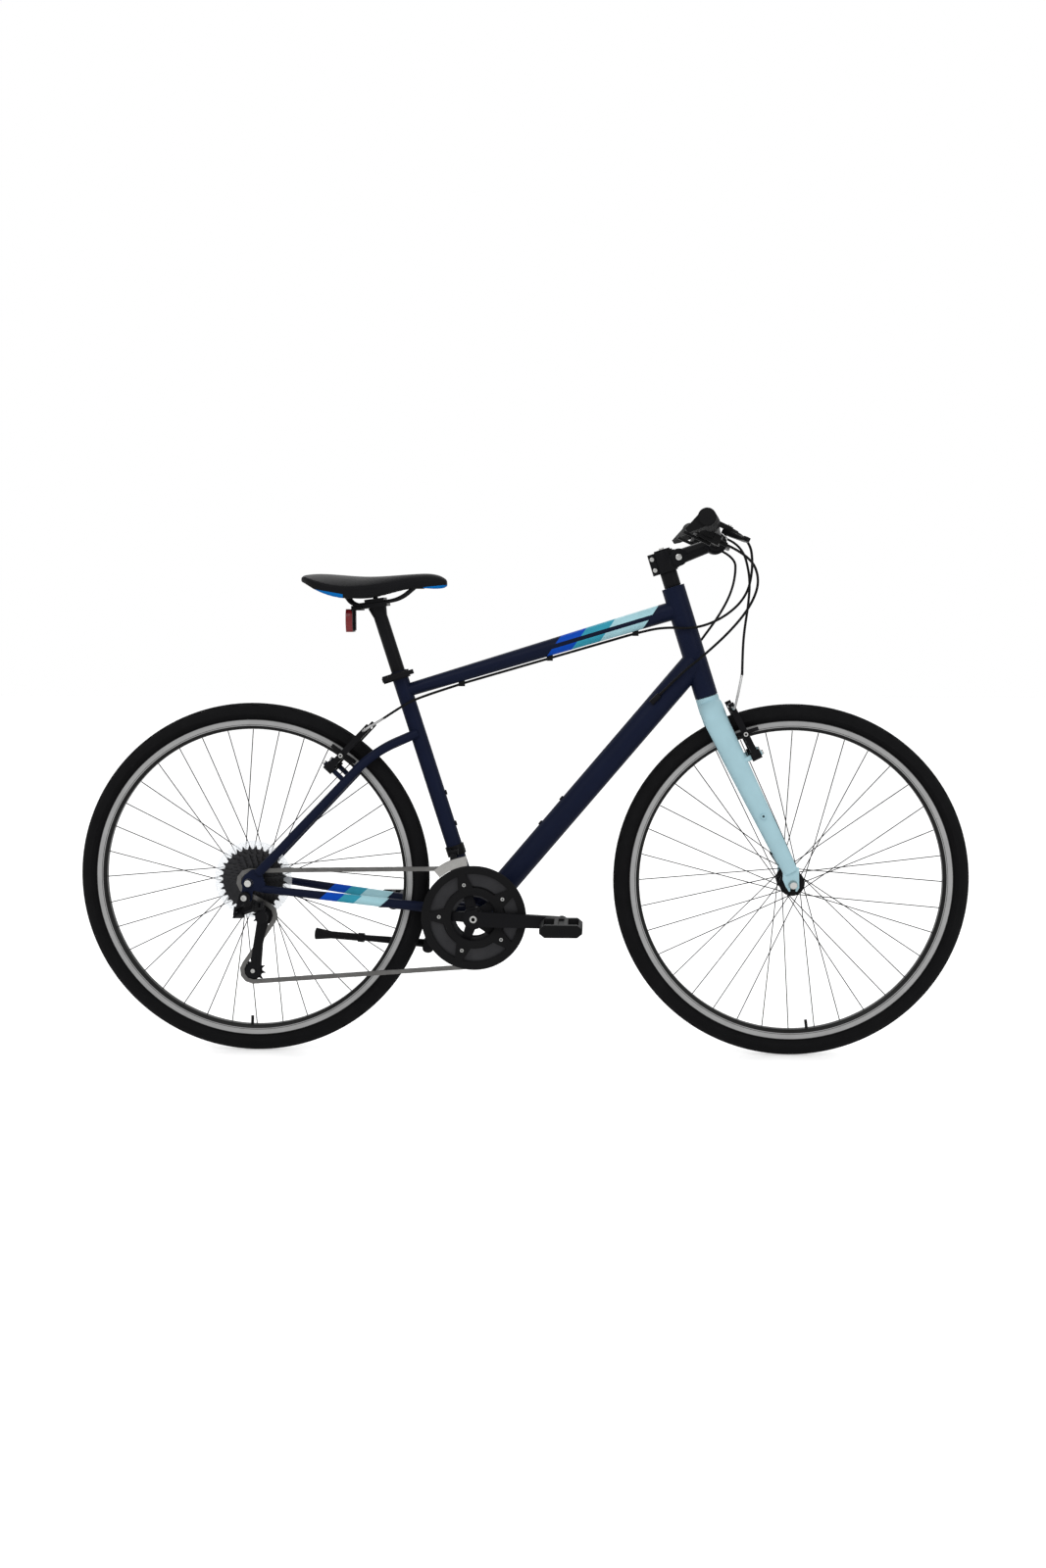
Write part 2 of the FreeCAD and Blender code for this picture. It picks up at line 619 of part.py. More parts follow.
def stem():
    """Adjustable stem: steerer clamp, hinged extension and bar clamp, with the spacer below."""
    bore = STEERER_DIAMETER / 2
    low = on_steer(STEM_BOTTOM)
    high = on_steer(STEM_TOP)
    rear_lug = box(V(-30.0, -9.0, -STEM_BASE_HEIGHT / 2), V(-12.0, 9.0, STEM_BASE_HEIGHT / 2))
    front_lug = box(V(10.0, -15.0, -18.0), V(STEM_PIVOT_AHEAD - 4, 15.0, 18.0))
    lugs = [placed(s, on_steer(STEM_STATION), STEER_AHEAD, STEER_UP) for s in (rear_lug, front_lug)]
    pivot = on_steer(STEM_STATION, STEM_PIVOT_AHEAD)
    knuckle = rod(pivot - Y_AXIS * 16, pivot + Y_AXIS * 16, 17.0)
    clear = rod(on_steer(STEM_BOTTOM - 5), on_steer(STEM_TOP + 5), bore)
    base = fused([rod(low, high, 20.0)] + lugs).cut(knuckle).cut(clear)
    way = (BAR_CENTER - pivot).normalize()
    arm = taper(pivot + way * 5, BAR_CENTER - way * 5, 14.5, 12.5)
    clamp_half = Y_AXIS * 22.0
    clamp = rod(BAR_CENTER - clamp_half, BAR_CENTER + clamp_half, BAR_CLAMP_DIAMETER / 2 + 5.5)
    hole = rod(BAR_CENTER - clamp_half, BAR_CENTER + clamp_half, BAR_CLAMP_DIAMETER / 2)
    extension = fused([fused([arm, clamp]), knuckle]).cut(hole)
    extension = extension.cut(rod(low, high, 20.0 + SLIDING_FIT))
    spacer = sleeve(on_steer(HEAD_TOP + CLEAR), low, 16.5, bore)
    cap = rod(high, on_steer(STEM_TOP + 3.0), 16.0)
    return Part.makeCompound([base, extension, spacer, cap])


def handlebar():
    """Swept riser bar, thicker where the stem grips it."""
    half = [BAR_BEND_LOW, BAR_BEND_HIGH, BAR_END]
    other = [V(p.x, -p.y, p.z) for p in reversed(half)]
    tube = swept(other + half, BAR_DIAMETER / 2)
    grip_half = Y_AXIS * 24.0
    return fused([tube, rod(BAR_CENTER - grip_half, BAR_CENTER + grip_half, BAR_CLAMP_DIAMETER / 2)])


def grip():
    """Sleeve with a palm wing that widens towards the end of the bar."""
    back = V(-0.83, 0, -0.56)
    side = back.cross(BAR_OUT).normalize()
    radius = GRIP_DIAMETER / 2
    sections = []
    for from_end, reach, half in ((96.0, 22.0, 6.0), (44.0, 38.0, 5.0), (3.0, 43.0, 4.5)):
        p = bar_point(from_end)
        near = p - back * 2.0
        far = p + back * reach
        root = side * radius * 0.96
        corners = [near + root, far + side * half, far - side * half, near - root]
        sections.append(Part.makePolygon(corners + corners[:1]))
    wing = Part.makeLoft(sections, True, True)
    body = rod(bar_point(GRIP_LENGTH), bar_point(0), radius)
    bore = rod(bar_point(GRIP_LENGTH), bar_point(0), BAR_DIAMETER / 2)
    cap = rod(bar_point(0), bar_point(-4.0), radius * 0.9)
    return fused([body, wing]).cut(bore).fuse(cap).removeSplitter()


def grips():
    left = grip()
    return Part.makeCompound([left, mirrored(left)])


# Controls are drawn about the bar: X ahead of it along the lever plane, Y outboard, Z up.

CONTROL_FROM_END = GRIP_LENGTH + 12.0
CONTROL_ORIGIN = bar_point(CONTROL_FROM_END)
LEVER_DOWN = math.radians(LEVER_TILT)
CONTROL_AHEAD_FLAT = V(math.cos(LEVER_DOWN), 0, -math.sin(LEVER_DOWN))
CONTROL_AHEAD = (CONTROL_AHEAD_FLAT - BAR_OUT * CONTROL_AHEAD_FLAT.dot(BAR_OUT)).normalize()
CONTROL_UP = CONTROL_AHEAD.cross(BAR_OUT).normalize()
LEVER_PIVOT = V(32.0, -10.0, 0)
LEVER_PIN_RADIUS = 3.0
TRIGGER_PIVOT = V(4.0, -40.0, 0)
TRIGGER_PIN_RADIUS = 2.5
POD_BOTTOM = -31.0


def on_control(p):
    return CONTROL_ORIGIN + CONTROL_AHEAD * p.x + BAR_OUT * p.y + CONTROL_UP * p.z


def control():
    """Bar clamp, lever bracket with its pin, and the shifter body below the bar."""
    bar = rod(V(0, -70, 0), V(0, 20, 0), BAR_DIAMETER / 2)
    clamp = rod(V(0, -16, 0), V(0, 8, 0), 16.0)
    bracket = prism([V(6, -20, 1), V(38, -19, 1), V(40, -4, 1), V(8, 6, 1)], Z_AXIS * 9)
    pin = rod(LEVER_PIVOT + V(0, 0, -9.5), LEVER_PIVOT + V(0, 0, 2), LEVER_PIN_RADIUS)
    pod_outline = [V(-14, -58, POD_BOTTOM), V(14, -60, POD_BOTTOM), V(27, -50, POD_BOTTOM),
                   V(26, -22, POD_BOTTOM), V(14, -12, POD_BOTTOM), V(-14, -12, POD_BOTTOM)]
    pod = prism(pod_outline, Z_AXIS * 19)
    neck = box(V(-12, -20, -24), V(12, -4, -6))
    trigger_pin = rod(TRIGGER_PIVOT + V(0, 0, POD_BOTTOM - 6.5), TRIGGER_PIVOT + V(0, 0, POD_BOTTOM + 2),
                      TRIGGER_PIN_RADIUS)
    barrel = rod(V(26, -42, -22), V(40, -44, -22), 4.5)
    stop = rod(V(36, -14, 5), V(48, -28, 5), 4.0)
    body = fused([clamp, bracket, pin, pod, neck, trigger_pin, barrel, stop]).cut(bar)
    return placed(body, CONTROL_ORIGIN, CONTROL_AHEAD, CONTROL_UP)


def controls():
    left = control()
    return Part.makeCompound([left, mirrored(left)])


def brake_lever():
    """Two-finger blade that swings about the bracket's pin."""
    outline = [V(22, -16, -8), V(42, -18, -8), V(56, 4, -8), V(72, 30, -8), V(80, 62, -8),
               V(83, 84, -8), V(78, 93, -8), V(71, 84, -8), V(66, 60, -8), V(58, 34, -8),
               V(42, 8, -8), V(24, -2, -8)]
    blade = prism(outline, Z_AXIS * 8.6)
    hole = rod(LEVER_PIVOT + V(0, 0, -10), LEVER_PIVOT + V(0, 0, 2), LEVER_PIN_RADIUS + RUNNING_FIT)
    return placed(blade.cut(hole), CONTROL_ORIGIN, CONTROL_AHEAD, CONTROL_UP)


def shift_trigger():
    """Thumb lever under the shifter body."""
    low = POD_BOTTOM - 6.0
    outline = [V(12, -46, low), V(12, -34, low), V(-8, -26, low), V(-34, -16, low),
               V(-42, -20, low), V(-40, -30, low), V(-14, -42, low)]
    plate = prism(outline, Z_AXIS * 5.6)
    hole = rod(TRIGGER_PIVOT + V(0, 0, low - 1), TRIGGER_PIVOT + V(0, 0, low + 7),
               TRIGGER_PIN_RADIUS + RUNNING_FIT)
    return placed(plate.cut(hole), CONTROL_ORIGIN, CONTROL_AHEAD, CONTROL_UP)


# Wheels

SPOKE_RADIUS = SPOKE_DIAMETER / 2
FLANGE_RADIUS = HUB_FLANGE_DIAMETER / 2
SPOKE_CIRCLE = FLANGE_RADIUS - 2.5
SPOKE_DROP = 1.8


def tyre(axle):
    """Carcass with a round crown, open inside, whose beads tuck into the rim."""
    bead = RIM_WIDTH / 2 - RIM_WALL - CLEAR
    base = BEAD_SEAT_DIAMETER / 2 + 0.5
    half = TYRE_WIDTH / 2
    middle = WHEEL_RADIUS - half
    edge = RIM_OUTER + 0.5
    outer = [(base, bead), (edge, bead), (edge + 1.6, RIM_WIDTH / 2 + 0.6)]
    inner = [(base, bead - TYRE_WALL), (edge + 2, bead - TYRE_WALL + 1)]
    for degrees in (0, 24, 48, 70):
        turn = math.radians(degrees)
        outer.append((middle + half * math.sin(turn), half * math.cos(turn)))
    for degrees in (0, 45):
        turn = math.radians(degrees)
        thick = TYRE_WALL + (TREAD_DEPTH - TYRE_WALL) * degrees / 90.0
        inner.append((middle + (half - thick) * math.sin(turn), (half - thick) * math.cos(turn)))
    across = [(radius, -left) for radius, left in reversed(outer)]
    back = [(radius, -left) for radius, left in inner]
    crown = [(WHEEL_RADIUS, 0.0)]
    ceiling = [(WHEEL_RADIUS - TREAD_DEPTH, 0.0)]
    profile = outer + crown + across + back + ceiling + inner[::-1]
    return Part.makeCompound(turned_lengths(axle, profile, TYRE_LENGTHS))


def valve_way(front):
    """Direction from the axle to the valve."""
    return 277.0 if front else 268.0


def inner_tube(axle, front):
    waist = BEAD_SEAT_DIAMETER / 2 + TYRE_WIDTH / 2
    half = TYRE_WIDTH / 2 - TYRE_WALL - 2.2
    low = RIM_OUTER + 3.5
    high = WHEEL_RADIUS - TREAD_DEPTH - 1.0
    ring = turned(axle, [(low, -5), (waist + 2, -half), (high, 0), (waist + 2, half), (low, 5)])
    start = polar(axle, low + 3, valve_way(front))
    end = polar(axle, RIM_INNER - VALVE_LENGTH + RIM_DEPTH, valve_way(front))
    return fused([ring, rod(start, end, VALVE_DIAMETER / 2)])


def rim(axle, front):
    """Box rim with a straight braking wall on each side and a well for the tyre."""
    half = RIM_WIDTH / 2
    well = BEAD_SEAT_DIAMETER / 2
    inside = half - RIM_WALL
    profile = [(RIM_OUTER, half), (RIM_OUTER, inside), (well, inside), (well - 2.5, 0), (well, -inside),
               (RIM_OUTER, -inside), (RIM_OUTER, -half), (RIM_INNER + 6, -half), (RIM_INNER, -7),
               (RIM_INNER, 7), (RIM_INNER + 6, half)]
    hole = rod(polar(axle, RIM_INNER - 5, valve_way(front)), polar(axle, RIM_OUTER, valve_way(front)),
               VALVE_DIAMETER / 2 + CLEAR)
    solids = []
    for length in turned_lengths(axle, profile, RIM_LENGTHS):
        solids += length.cut(hole).Solids
    return Part.makeCompound(solids)


def spokes(axle, left_flange, right_flange):
    """Crossed spokes, alternately from the outside and the inside of each flange."""
    per_flange = SPOKE_COUNT // 2
    step = 360.0 / per_flange
    lean = 360.0 * SPOKE_CROSSINGS / per_flange
    shift = HUB_FLANGE_THICKNESS / 2 + SPOKE_RADIUS
    made = []
    for side, flange in ((1, left_flange), (-1, right_flange)):
        first = 0.0 if side > 0 else step / 2
        for k in range(per_flange):
            outside = k % 2 == 0
            offset = shift + SPOKE_DROP if outside else -shift - 2 * CLEAR
            rim_offset = 3.6 if outside else 1.2
            hub_angle = first + step * k
            rim_angle = hub_angle + (lean if outside else -lean)
            start = polar(axle, SPOKE_CIRCLE, hub_angle, side * (flange + offset))
            end = polar(axle, RIM_INNER - CLEAR, rim_angle, side * rim_offset)
            made.append(bar_prism(start, end, SPOKE_RADIUS, 5))
    return Part.makeCompound(made)


def front_hub():
    bore = AXLE_RADIUS + RUNNING_FIT
    barrel = HUB_BARREL_DIAMETER / 2
    half = HUB_FLANGE_THICKNESS / 2
    inner = FRONT_FLANGE_OFFSET - half
    outer = FRONT_FLANGE_OFFSET + half
    end = outer + 6.0
    right = [(bore, -end), (barrel, -end), (barrel, -outer), (FLANGE_RADIUS, -outer), (FLANGE_RADIUS, -inner),
             (barrel + 1, -inner + 2)]
    left = [(radius, -side) for radius, side in reversed(right)]
    return turned(FRONT_AXLE, right + left)


def rear_hub():
    bore = AXLE_RADIUS + RUNNING_FIT
    barrel = HUB_BARREL_DIAMETER / 2 + 2
    half = HUB_FLANGE_THICKNESS / 2
    right = -REAR_FLANGE_RIGHT
    left = REAR_FLANGE_LEFT
    profile = [(bore, right - half - 0.5), (barrel, right - half - 0.5), (barrel, right - half),
               (FLANGE_RADIUS, right - half), (FLANGE_RADIUS, right + half), (barrel, right + half + 2),
               (barrel, left - half - 2), (FLANGE_RADIUS, left - half), (FLANGE_RADIUS, left + half),
               (barrel, left + half), (barrel, left + half + 14), (bore, left + half + 14)]
    return turned(REAR_AXLE, profile)


def spoke_protector():
    """Clear dished disc between the largest cog and the spokes."""
    outer = -PROTECTOR_OUTER_FACE
    return turned(REAR_AXLE, [(FLANGE_RADIUS + 3, outer), (77.0, outer), (77.0, outer + 0.8),
                              (FLANGE_RADIUS + 3, outer + 0.8)])


PROTECTOR_OUTER_FACE = (REAR_FLANGE_RIGHT + HUB_FLANGE_THICKNESS / 2 + SPOKE_DIAMETER + SPOKE_DROP
                        + CLEAR + 0.8)


# Quick release levers: an eye on a cam pin, with a paddle that lies along the part it clamps.

CAM_PIN_RADIUS = 3.0
CAM_EYE_RADIUS = 6.5
CAM_EYE_WIDTH = 9.0
CAM_ABOVE_SEAT = 8.0
PADDLE_LENGTH = 58.0


def cam_lever(pivot, along, out):
    hinge = along.cross(out).normalize()
    half = hinge * (CAM_EYE_WIDTH / 2)
    eye = rod(pivot - half, pivot + half, CAM_EYE_RADIUS)
    outline = [(-2, -5), (18, -4), (PADDLE_LENGTH - 8, -1), (PADDLE_LENGTH, 2), (PADDLE_LENGTH - 6, 5.5),
               (20, 2), (0, 6)]
    corners = [pivot - half + along * a + out * b for a, b in outline]
    hole = rod(pivot - half, pivot + half, CAM_PIN_RADIUS + RUNNING_FIT)
    return fused([eye, prism(corners, half * 2)]).cut(hole)


def cam_seat(pivot, along, out, base_radius):
    """Base, two ears and the cam pin that carry a quick release lever."""
    hinge = along.cross(out).normalize()
    face = pivot - out * CAM_ABOVE_SEAT
    base = rod(face - out * 5.0, face, base_radius)
    pieces = [base]
    for side in (-1, 1):
        ear = hinge * side * (CAM_EYE_WIDTH / 2 + CLEAR)
        root = face - out * 1.0
        corners = [root + ear - along * 4, root + ear + along * 4,
                   pivot + ear + along * 4 + out * 3, pivot + ear - along * 4 + out * 3]
        pieces.append(prism(corners, hinge * side * 2.5))
    reach = hinge * (CAM_EYE_WIDTH / 2 + CLEAR + 1)
    pieces.append(rod(pivot - reach, pivot + reach, CAM_PIN_RADIUS))
    return fused(pieces)


QR_BASE_RADIUS = 9.0
FRONT_OUTER_FACE = FRONT_HUB_SPACING / 2 + DROPOUT_THICKNESS
REAR_OUTER_FACE = REAR_HUB_SPACING / 2 + DROPOUT_THICKNESS
FRONT_CAM = FRONT_AXLE + Y_AXIS * (FRONT_OUTER_FACE + 5.0 + CAM_ABOVE_SEAT)
REAR_CAM = REAR_AXLE + Y_AXIS * (REAR_OUTER_FACE + 5.0 + CAM_ABOVE_SEAT)
FRONT_LEVER_WAY = V(-0.55, 0, 0.835).normalize()
REAR_LEVER_WAY = V(-0.96, 0, 0.28).normalize()


def axle_set(axle, spacing, outer_face, left_nut, right_nut, cam, lever_way):
    """Hub axle with its locknuts, the skewer's nut on the right and its cam seat on the left."""
    shaft = rod(axle - Y_AXIS * outer_face, axle + Y_AXIS * outer_face, AXLE_RADIUS)
    inner = spacing / 2
    left = rod(axle + Y_AXIS * left_nut, axle + Y_AXIS * inner, 8.5)
    right = rod(axle - Y_AXIS * inner, axle - Y_AXIS * right_nut, 8.5)
    nut = taper(axle - Y_AXIS * outer_face, axle - Y_AXIS * (outer_face + 11), QR_BASE_RADIUS, 6.5)
    return fused([shaft, left, right, nut, cam_seat(cam, lever_way, Y_AXIS, QR_BASE_RADIUS)])


def front_axle():
    nut = FRONT_FLANGE_OFFSET + HUB_FLANGE_THICKNESS / 2 + 6.0 + CLEAR
    return axle_set(FRONT_AXLE, FRONT_HUB_SPACING, FRONT_OUTER_FACE, nut, nut, FRONT_CAM, FRONT_LEVER_WAY)


def rear_axle():
    left = REAR_FLANGE_LEFT + HUB_FLANGE_THICKNESS / 2 + 14.0 + CLEAR
    right = CHAIN_LINE + SPROCKET_THICKNESS + 3.0 + CLEAR
    return axle_set(REAR_AXLE, REAR_HUB_SPACING, REAR_OUTER_FACE, left, right, REAR_CAM, REAR_LEVER_WAY)


# Drive

def pitch_radius(teeth):
    return teeth * PITCH / (2 * math.pi)


def sprocket(center, teeth, plane, phase, bore, thickness=SPROCKET_THICKNESS):
    """Toothed disc on the right side: plane is its distance from the middle of the bike."""
    root = pitch_radius(teeth) - 4.2
    tip = pitch_radius(teeth) + 3.6
    step = 360.0 / teeth
    valley = math.degrees(2.6 / pitch_radius(teeth))
    face = -plane - thickness / 2
    corners = []
    for k in range(teeth):
        middle = phase + step * k
        corners.append(polar(center, root, middle - valley, face))
        corners.append(polar(center, root, middle + valley, face))
        corners.append(polar(center, tip, middle + step / 2, face))
    through = Y_AXIS * thickness
    start = V(center.x, face, center.z)
    return prism(corners, through).cut(rod(start, start + through, bore))


GUIDE = REAR_AXLE + V(GUIDE_AHEAD, -CHAIN_LINE, -GUIDE_BELOW)
CAGE_LEAN = math.radians(11.7)
CAGE_DOWN = V(-math.sin(CAGE_LEAN), 0, -math.cos(CAGE_LEAN))
TENSION = GUIDE + CAGE_DOWN * CAGE_LENGTH
CHAIN_WHEELS = [
    (REAR_AXLE, pitch_radius(COG_TEETH[0])),
    (SHELL, pitch_radius(RING_TEETH[-1])),
    (TENSION, pitch_radius(PULLEY_TEETH)),
    (GUIDE, -pitch_radius(PULLEY_TEETH)),
]


def heading(turn):
    return V(math.cos(turn), 0, math.sin(turn))


def beside(turn):
    return V(-math.sin(turn), 0, math.cos(turn))


def tangent(first, second):
    """Heading and length of the straight run of chain between two wheels."""
    (a, a_radius), (b, b_radius) = first, second
    gap = V(b.x - a.x, 0, b.z - a.z)
    length = math.sqrt(gap.Length ** 2 - (a_radius - b_radius) ** 2)
    return math.atan2(gap.z, gap.x) - math.atan2(a_radius - b_radius, length), length


def chain_course():
    """Runs and wraps of the chain in order, each as its length and a function of distance."""
    count = len(CHAIN_WHEELS)
    runs = [tangent(CHAIN_WHEELS[k], CHAIN_WHEELS[(k + 1) % count]) for k in range(count)]
    course = []
    for k, (turn, length) in enumerate(runs):
        center, radius = CHAIN_WHEELS[k]
        start = V(center.x, 0, center.z) + beside(turn) * radius
        course.append((length, lambda s, a=start, t=turn: a + heading(t) * s, None))
        after = (k + 1) % count
        center, radius = CHAIN_WHEELS[after]
        middle = V(center.x, 0, center.z)
        sweep = (turn - runs[after][0]) % (2 * math.pi)
        if radius < 0:
            sweep = 2 * math.pi - sweep
        wrap = lambda s, c=middle, t=turn, r=radius: c + beside(t - s / r) * r
        course.append((abs(radius) * sweep, wrap, after))
    return course


def chain_pins():
    """Pin centres round the whole course, and the tooth phase of each wheel."""
    course = chain_course()
    total = sum(span[0] for span in course)
    count = 2 * round(total / PITCH / 2)
    step = total / count
    pins = []
    phases = {}
    begun = 0.0
    for length, place, wheel in course:
        first = math.ceil(begun / step - 1e-9)
        last = math.ceil((begun + length) / step - 1e-9)
        here = [place(k * step - begun) for k in range(first, last)]
        pins += here
        if wheel is not None and here:
            center = CHAIN_WHEELS[wheel][0]
            pin = here[len(here) // 2]
            phases[wheel] = math.degrees(math.atan2(pin.z - center.z, pin.x - center.x))
        begun += length
    return pins, phases


CHAIN_PINS, WHEEL_PHASES = chain_pins()
COG_PHASE, RING_PHASE, TENSION_PHASE, GUIDE_PHASE = (WHEEL_PHASES[k] for k in range(4))


def link_plate(inner_face):
    """One side plate of a chain link, about the middle of the link."""
    half = PITCH / 2 + 3.9
    high = PLATE_HEIGHT / 2
    outline = [(-half, 0), (3 - half, -high), (half - 3, -high), (half, 0), (half - 3, high),
               (3 - half, high)]
    corners = [V(x, inner_face, z) for x, z in outline]
    return prism(corners, Y_AXIS * PLATE_THICKNESS)


def chain():
    """Alternate wide and narrow links, the narrow ones with their rollers."""
    wide_face = CHAIN_WIDTH / 2 - PLATE_THICKNESS
    narrow_face = wide_face - PLATE_THICKNESS - 0.1
    wide = [link_plate(wide_face), mirrored(link_plate(wide_face))]
    narrow = [link_plate(narrow_face), mirrored(link_plate(narrow_face))]
    for end in (-PITCH / 2, PITCH / 2):
        narrow.append(bar_roller(end, narrow_face))
    wide_link = Part.makeCompound(wide)
    narrow_link = Part.makeCompound(narrow)
    links = []
    for k, pin in enumerate(CHAIN_PINS):
        after = CHAIN_PINS[(k + 1) % len(CHAIN_PINS)]
        along = (after - pin).normalize()
        middle = (pin + after) * 0.5 - Y_AXIS * CHAIN_LINE
        link = wide_link if k % 2 else narrow_link
        links.append(placed(link, middle, along, V(-along.z, 0, along.x)))
    return Part.makeCompound(links)


def bar_roller(x, half_width):
    """Six-sided roller of a chain link."""
    corners = []
    for k in range(6):
        turn = math.pi * k / 3
        corners.append(V(x + 3.3 * math.cos(turn), -half_width, 3.3 * math.sin(turn)))
    return prism(corners, Y_AXIS * (2 * half_width))


FREEHUB_RADIUS = 15.5


def cassette():
    """Eight cogs on the freehub body, held by a lockring."""
    inner = REAR_FLANGE_RIGHT + HUB_FLANGE_THICKNESS / 2 + 0.5 + CLEAR
    outer = CHAIN_LINE + SPROCKET_THICKNESS / 2
    start = REAR_AXLE - Y_AXIS * inner
    end = REAR_AXLE - Y_AXIS * outer
    lock = REAR_AXLE - Y_AXIS * (CHAIN_LINE + SPROCKET_THICKNESS + 3.0)
    bore = rod(start, lock, AXLE_RADIUS + RUNNING_FIT)
    pieces = [rod(start, end, FREEHUB_RADIUS).cut(bore), rod(end, lock, FREEHUB_RADIUS - 1).cut(bore)]
    for k, teeth in enumerate(COG_TEETH):
        phase = COG_PHASE if k == 0 else 0.0
        pieces.append(sprocket(REAR_AXLE, teeth, CHAIN_LINE - COG_SPACING * k, phase, FREEHUB_RADIUS))
    return Part.makeCompound(pieces)


SPIDER_ARMS = 5
RING_BORES = (38.0, 40.0, 62.0)
INNER_BOLT_CIRCLE = 46.0
OUTER_BOLT_CIRCLE = 68.0
GUARD_INNER_FACE = CHAIN_LINE + 6.7
GUARD_THICKNESS = 2.5
CRANK_INNER_FACE = GUARD_INNER_FACE + GUARD_THICKNESS + 1.8
CRANK_OUTER_FACE = CRANK_INNER_FACE + CRANK_THICKNESS
CRANK_REST_ANGLE = -2.0
SPIDER_FIRST_ARM = CRANK_REST_ANGLE + 36.0


def at_ring(radius, arm, plane):
    return polar(SHELL, radius, SPIDER_FIRST_ARM + 360.0 / SPIDER_ARMS * arm, -plane)


def chainrings():
    """Three rings, joined by the bolts that space the small ring and carry the guard."""
    count = len(RING_TEETH)
    planes = [CHAIN_LINE - RING_SPACING * (count - 1 - k) for k in range(count)]
    pieces = []
    for teeth, plane, bore in zip(RING_TEETH, planes, RING_BORES):
        pieces.append(sprocket(SHELL, teeth, plane, RING_PHASE, bore))
    half = SPROCKET_THICKNESS / 2
    for arm in range(SPIDER_ARMS):
        low = at_ring(INNER_BOLT_CIRCLE, arm, planes[0] + half)
        high = at_ring(INNER_BOLT_CIRCLE, arm, planes[1] - half)
        pieces.append(rod(low, high, 4.0))
        low = at_ring(OUTER_BOLT_CIRCLE, arm, planes[2] + half)
        high = at_ring(OUTER_BOLT_CIRCLE, arm, GUARD_INNER_FACE)
        pieces.append(rod(low, high, 4.0))
    return Part.makeCompound(pieces)


def chain_guard():
    """Outer band and inner ring, joined by tapered struts over the spider's arms."""
    inner = -GUARD_INNER_FACE
    outer = inner - GUARD_THICKNESS
    band = turned(SHELL, [(GUARD_BAND_INNER, inner), (GUARD_RADIUS, inner), (GUARD_RADIUS, inner - 1.2),
                          (GUARD_RADIUS - 2, outer), (GUARD_BAND_INNER, outer)])
    ring = turned(SHELL, [(GUARD_RING_INNER, inner), (GUARD_RING_OUTER, inner), (GUARD_RING_OUTER, outer),
                          (GUARD_RING_INNER, outer)])
    struts = []
    for arm in range(SPIDER_ARMS):
        root = at_ring(GUARD_RING_OUTER - 6, arm, GUARD_INNER_FACE)
        tip = at_ring(GUARD_BAND_INNER + 5, arm, GUARD_INNER_FACE)
        along = (tip - root).normalize()
        side = V(-along.z, 0, along.x)
        corners = [root + side * 16, tip + side * 7, tip - side * 7, root - side * 16]
        struts.append(prism(corners, Y_AXIS * -GUARD_THICKNESS))
    return fused([band, ring] + struts)


def crank_arm(angle, side):
    """Tapered arm with a round boss at each end, bored for the spindle."""
    inner = side * CRANK_INNER_FACE
    outer = side * CRANK_OUTER_FACE
    thick = Y_AXIS * (outer - inner)
    hub = V(SHELL.x, inner, SHELL.z)
    eye = polar(SHELL, CRANK_LENGTH, angle, inner)
    along = (eye - hub).normalize()
    up = V(-along.z, 0, along.x)
    corners = [hub + up * 15, eye + up * 11.5, eye - up * 11.5, hub - up * 15]
    return [prism(corners, thick), rod(hub, hub + thick, 18.0), rod(eye, eye + thick, 13.0)]


def spindle_bore(side):
    end = SHELL + Y_AXIS * (side * (CRANK_OUTER_FACE - 3.0))
    return rod(SHELL, end, SPINDLE_DIAMETER / 2)


def pedal_axle(angle, side):
    start = polar(SHELL, CRANK_LENGTH, angle, side * CRANK_OUTER_FACE)
    return rod(start, start + Y_AXIS * (side * (PEDAL_WIDTH + 4.0)), PEDAL_AXLE_DIAMETER / 2)


def crank_right():
    """Arm and spider forged in one, with the pedal's axle screwed into the end."""
    ring_face = CHAIN_LINE - SPROCKET_THICKNESS / 2
    back_face = CHAIN_LINE - RING_SPACING + SPROCKET_THICKNESS / 2
    depth = Y_AXIS * (ring_face - back_face)
    pieces = crank_arm(CRANK_REST_ANGLE, -1)
    pieces.append(rod(SHELL - Y_AXIS * CRANK_INNER_FACE, SHELL - Y_AXIS * back_face, 22.0))
    for arm in range(SPIDER_ARMS):
        tip = at_ring(OUTER_BOLT_CIRCLE + 6, arm, ring_face)
        root = at_ring(10.0, arm, ring_face)
        along = (tip - root).normalize()
        side = V(-along.z, 0, along.x)
        corners = [root + side * 11, tip + side * 7, tip - side * 7, root - side * 11]
        pieces.append(prism(corners, depth))
    return Part.makeCompound([fused(pieces).cut(spindle_bore(-1)), pedal_axle(CRANK_REST_ANGLE, -1)])


def crank_left():
    """Plain arm on the other end of the spindle, with the pedal's axle."""
    angle = CRANK_REST_ANGLE + 180.0
    boss = rod(SHELL + SHELL_SIDE + Y_AXIS * 4.0, SHELL + Y_AXIS * CRANK_INNER_FACE, 16.0)
    arm = fused(crank_arm(angle, 1) + [boss]).cut(spindle_bore(1))
    reach = Y_AXIS * (CRANK_OUTER_FACE - 3.0)
    spindle = rod(SHELL - reach, SHELL + reach, SPINDLE_DIAMETER / 2)
    return Part.makeCompound([arm, spindle, pedal_axle(angle, 1)])


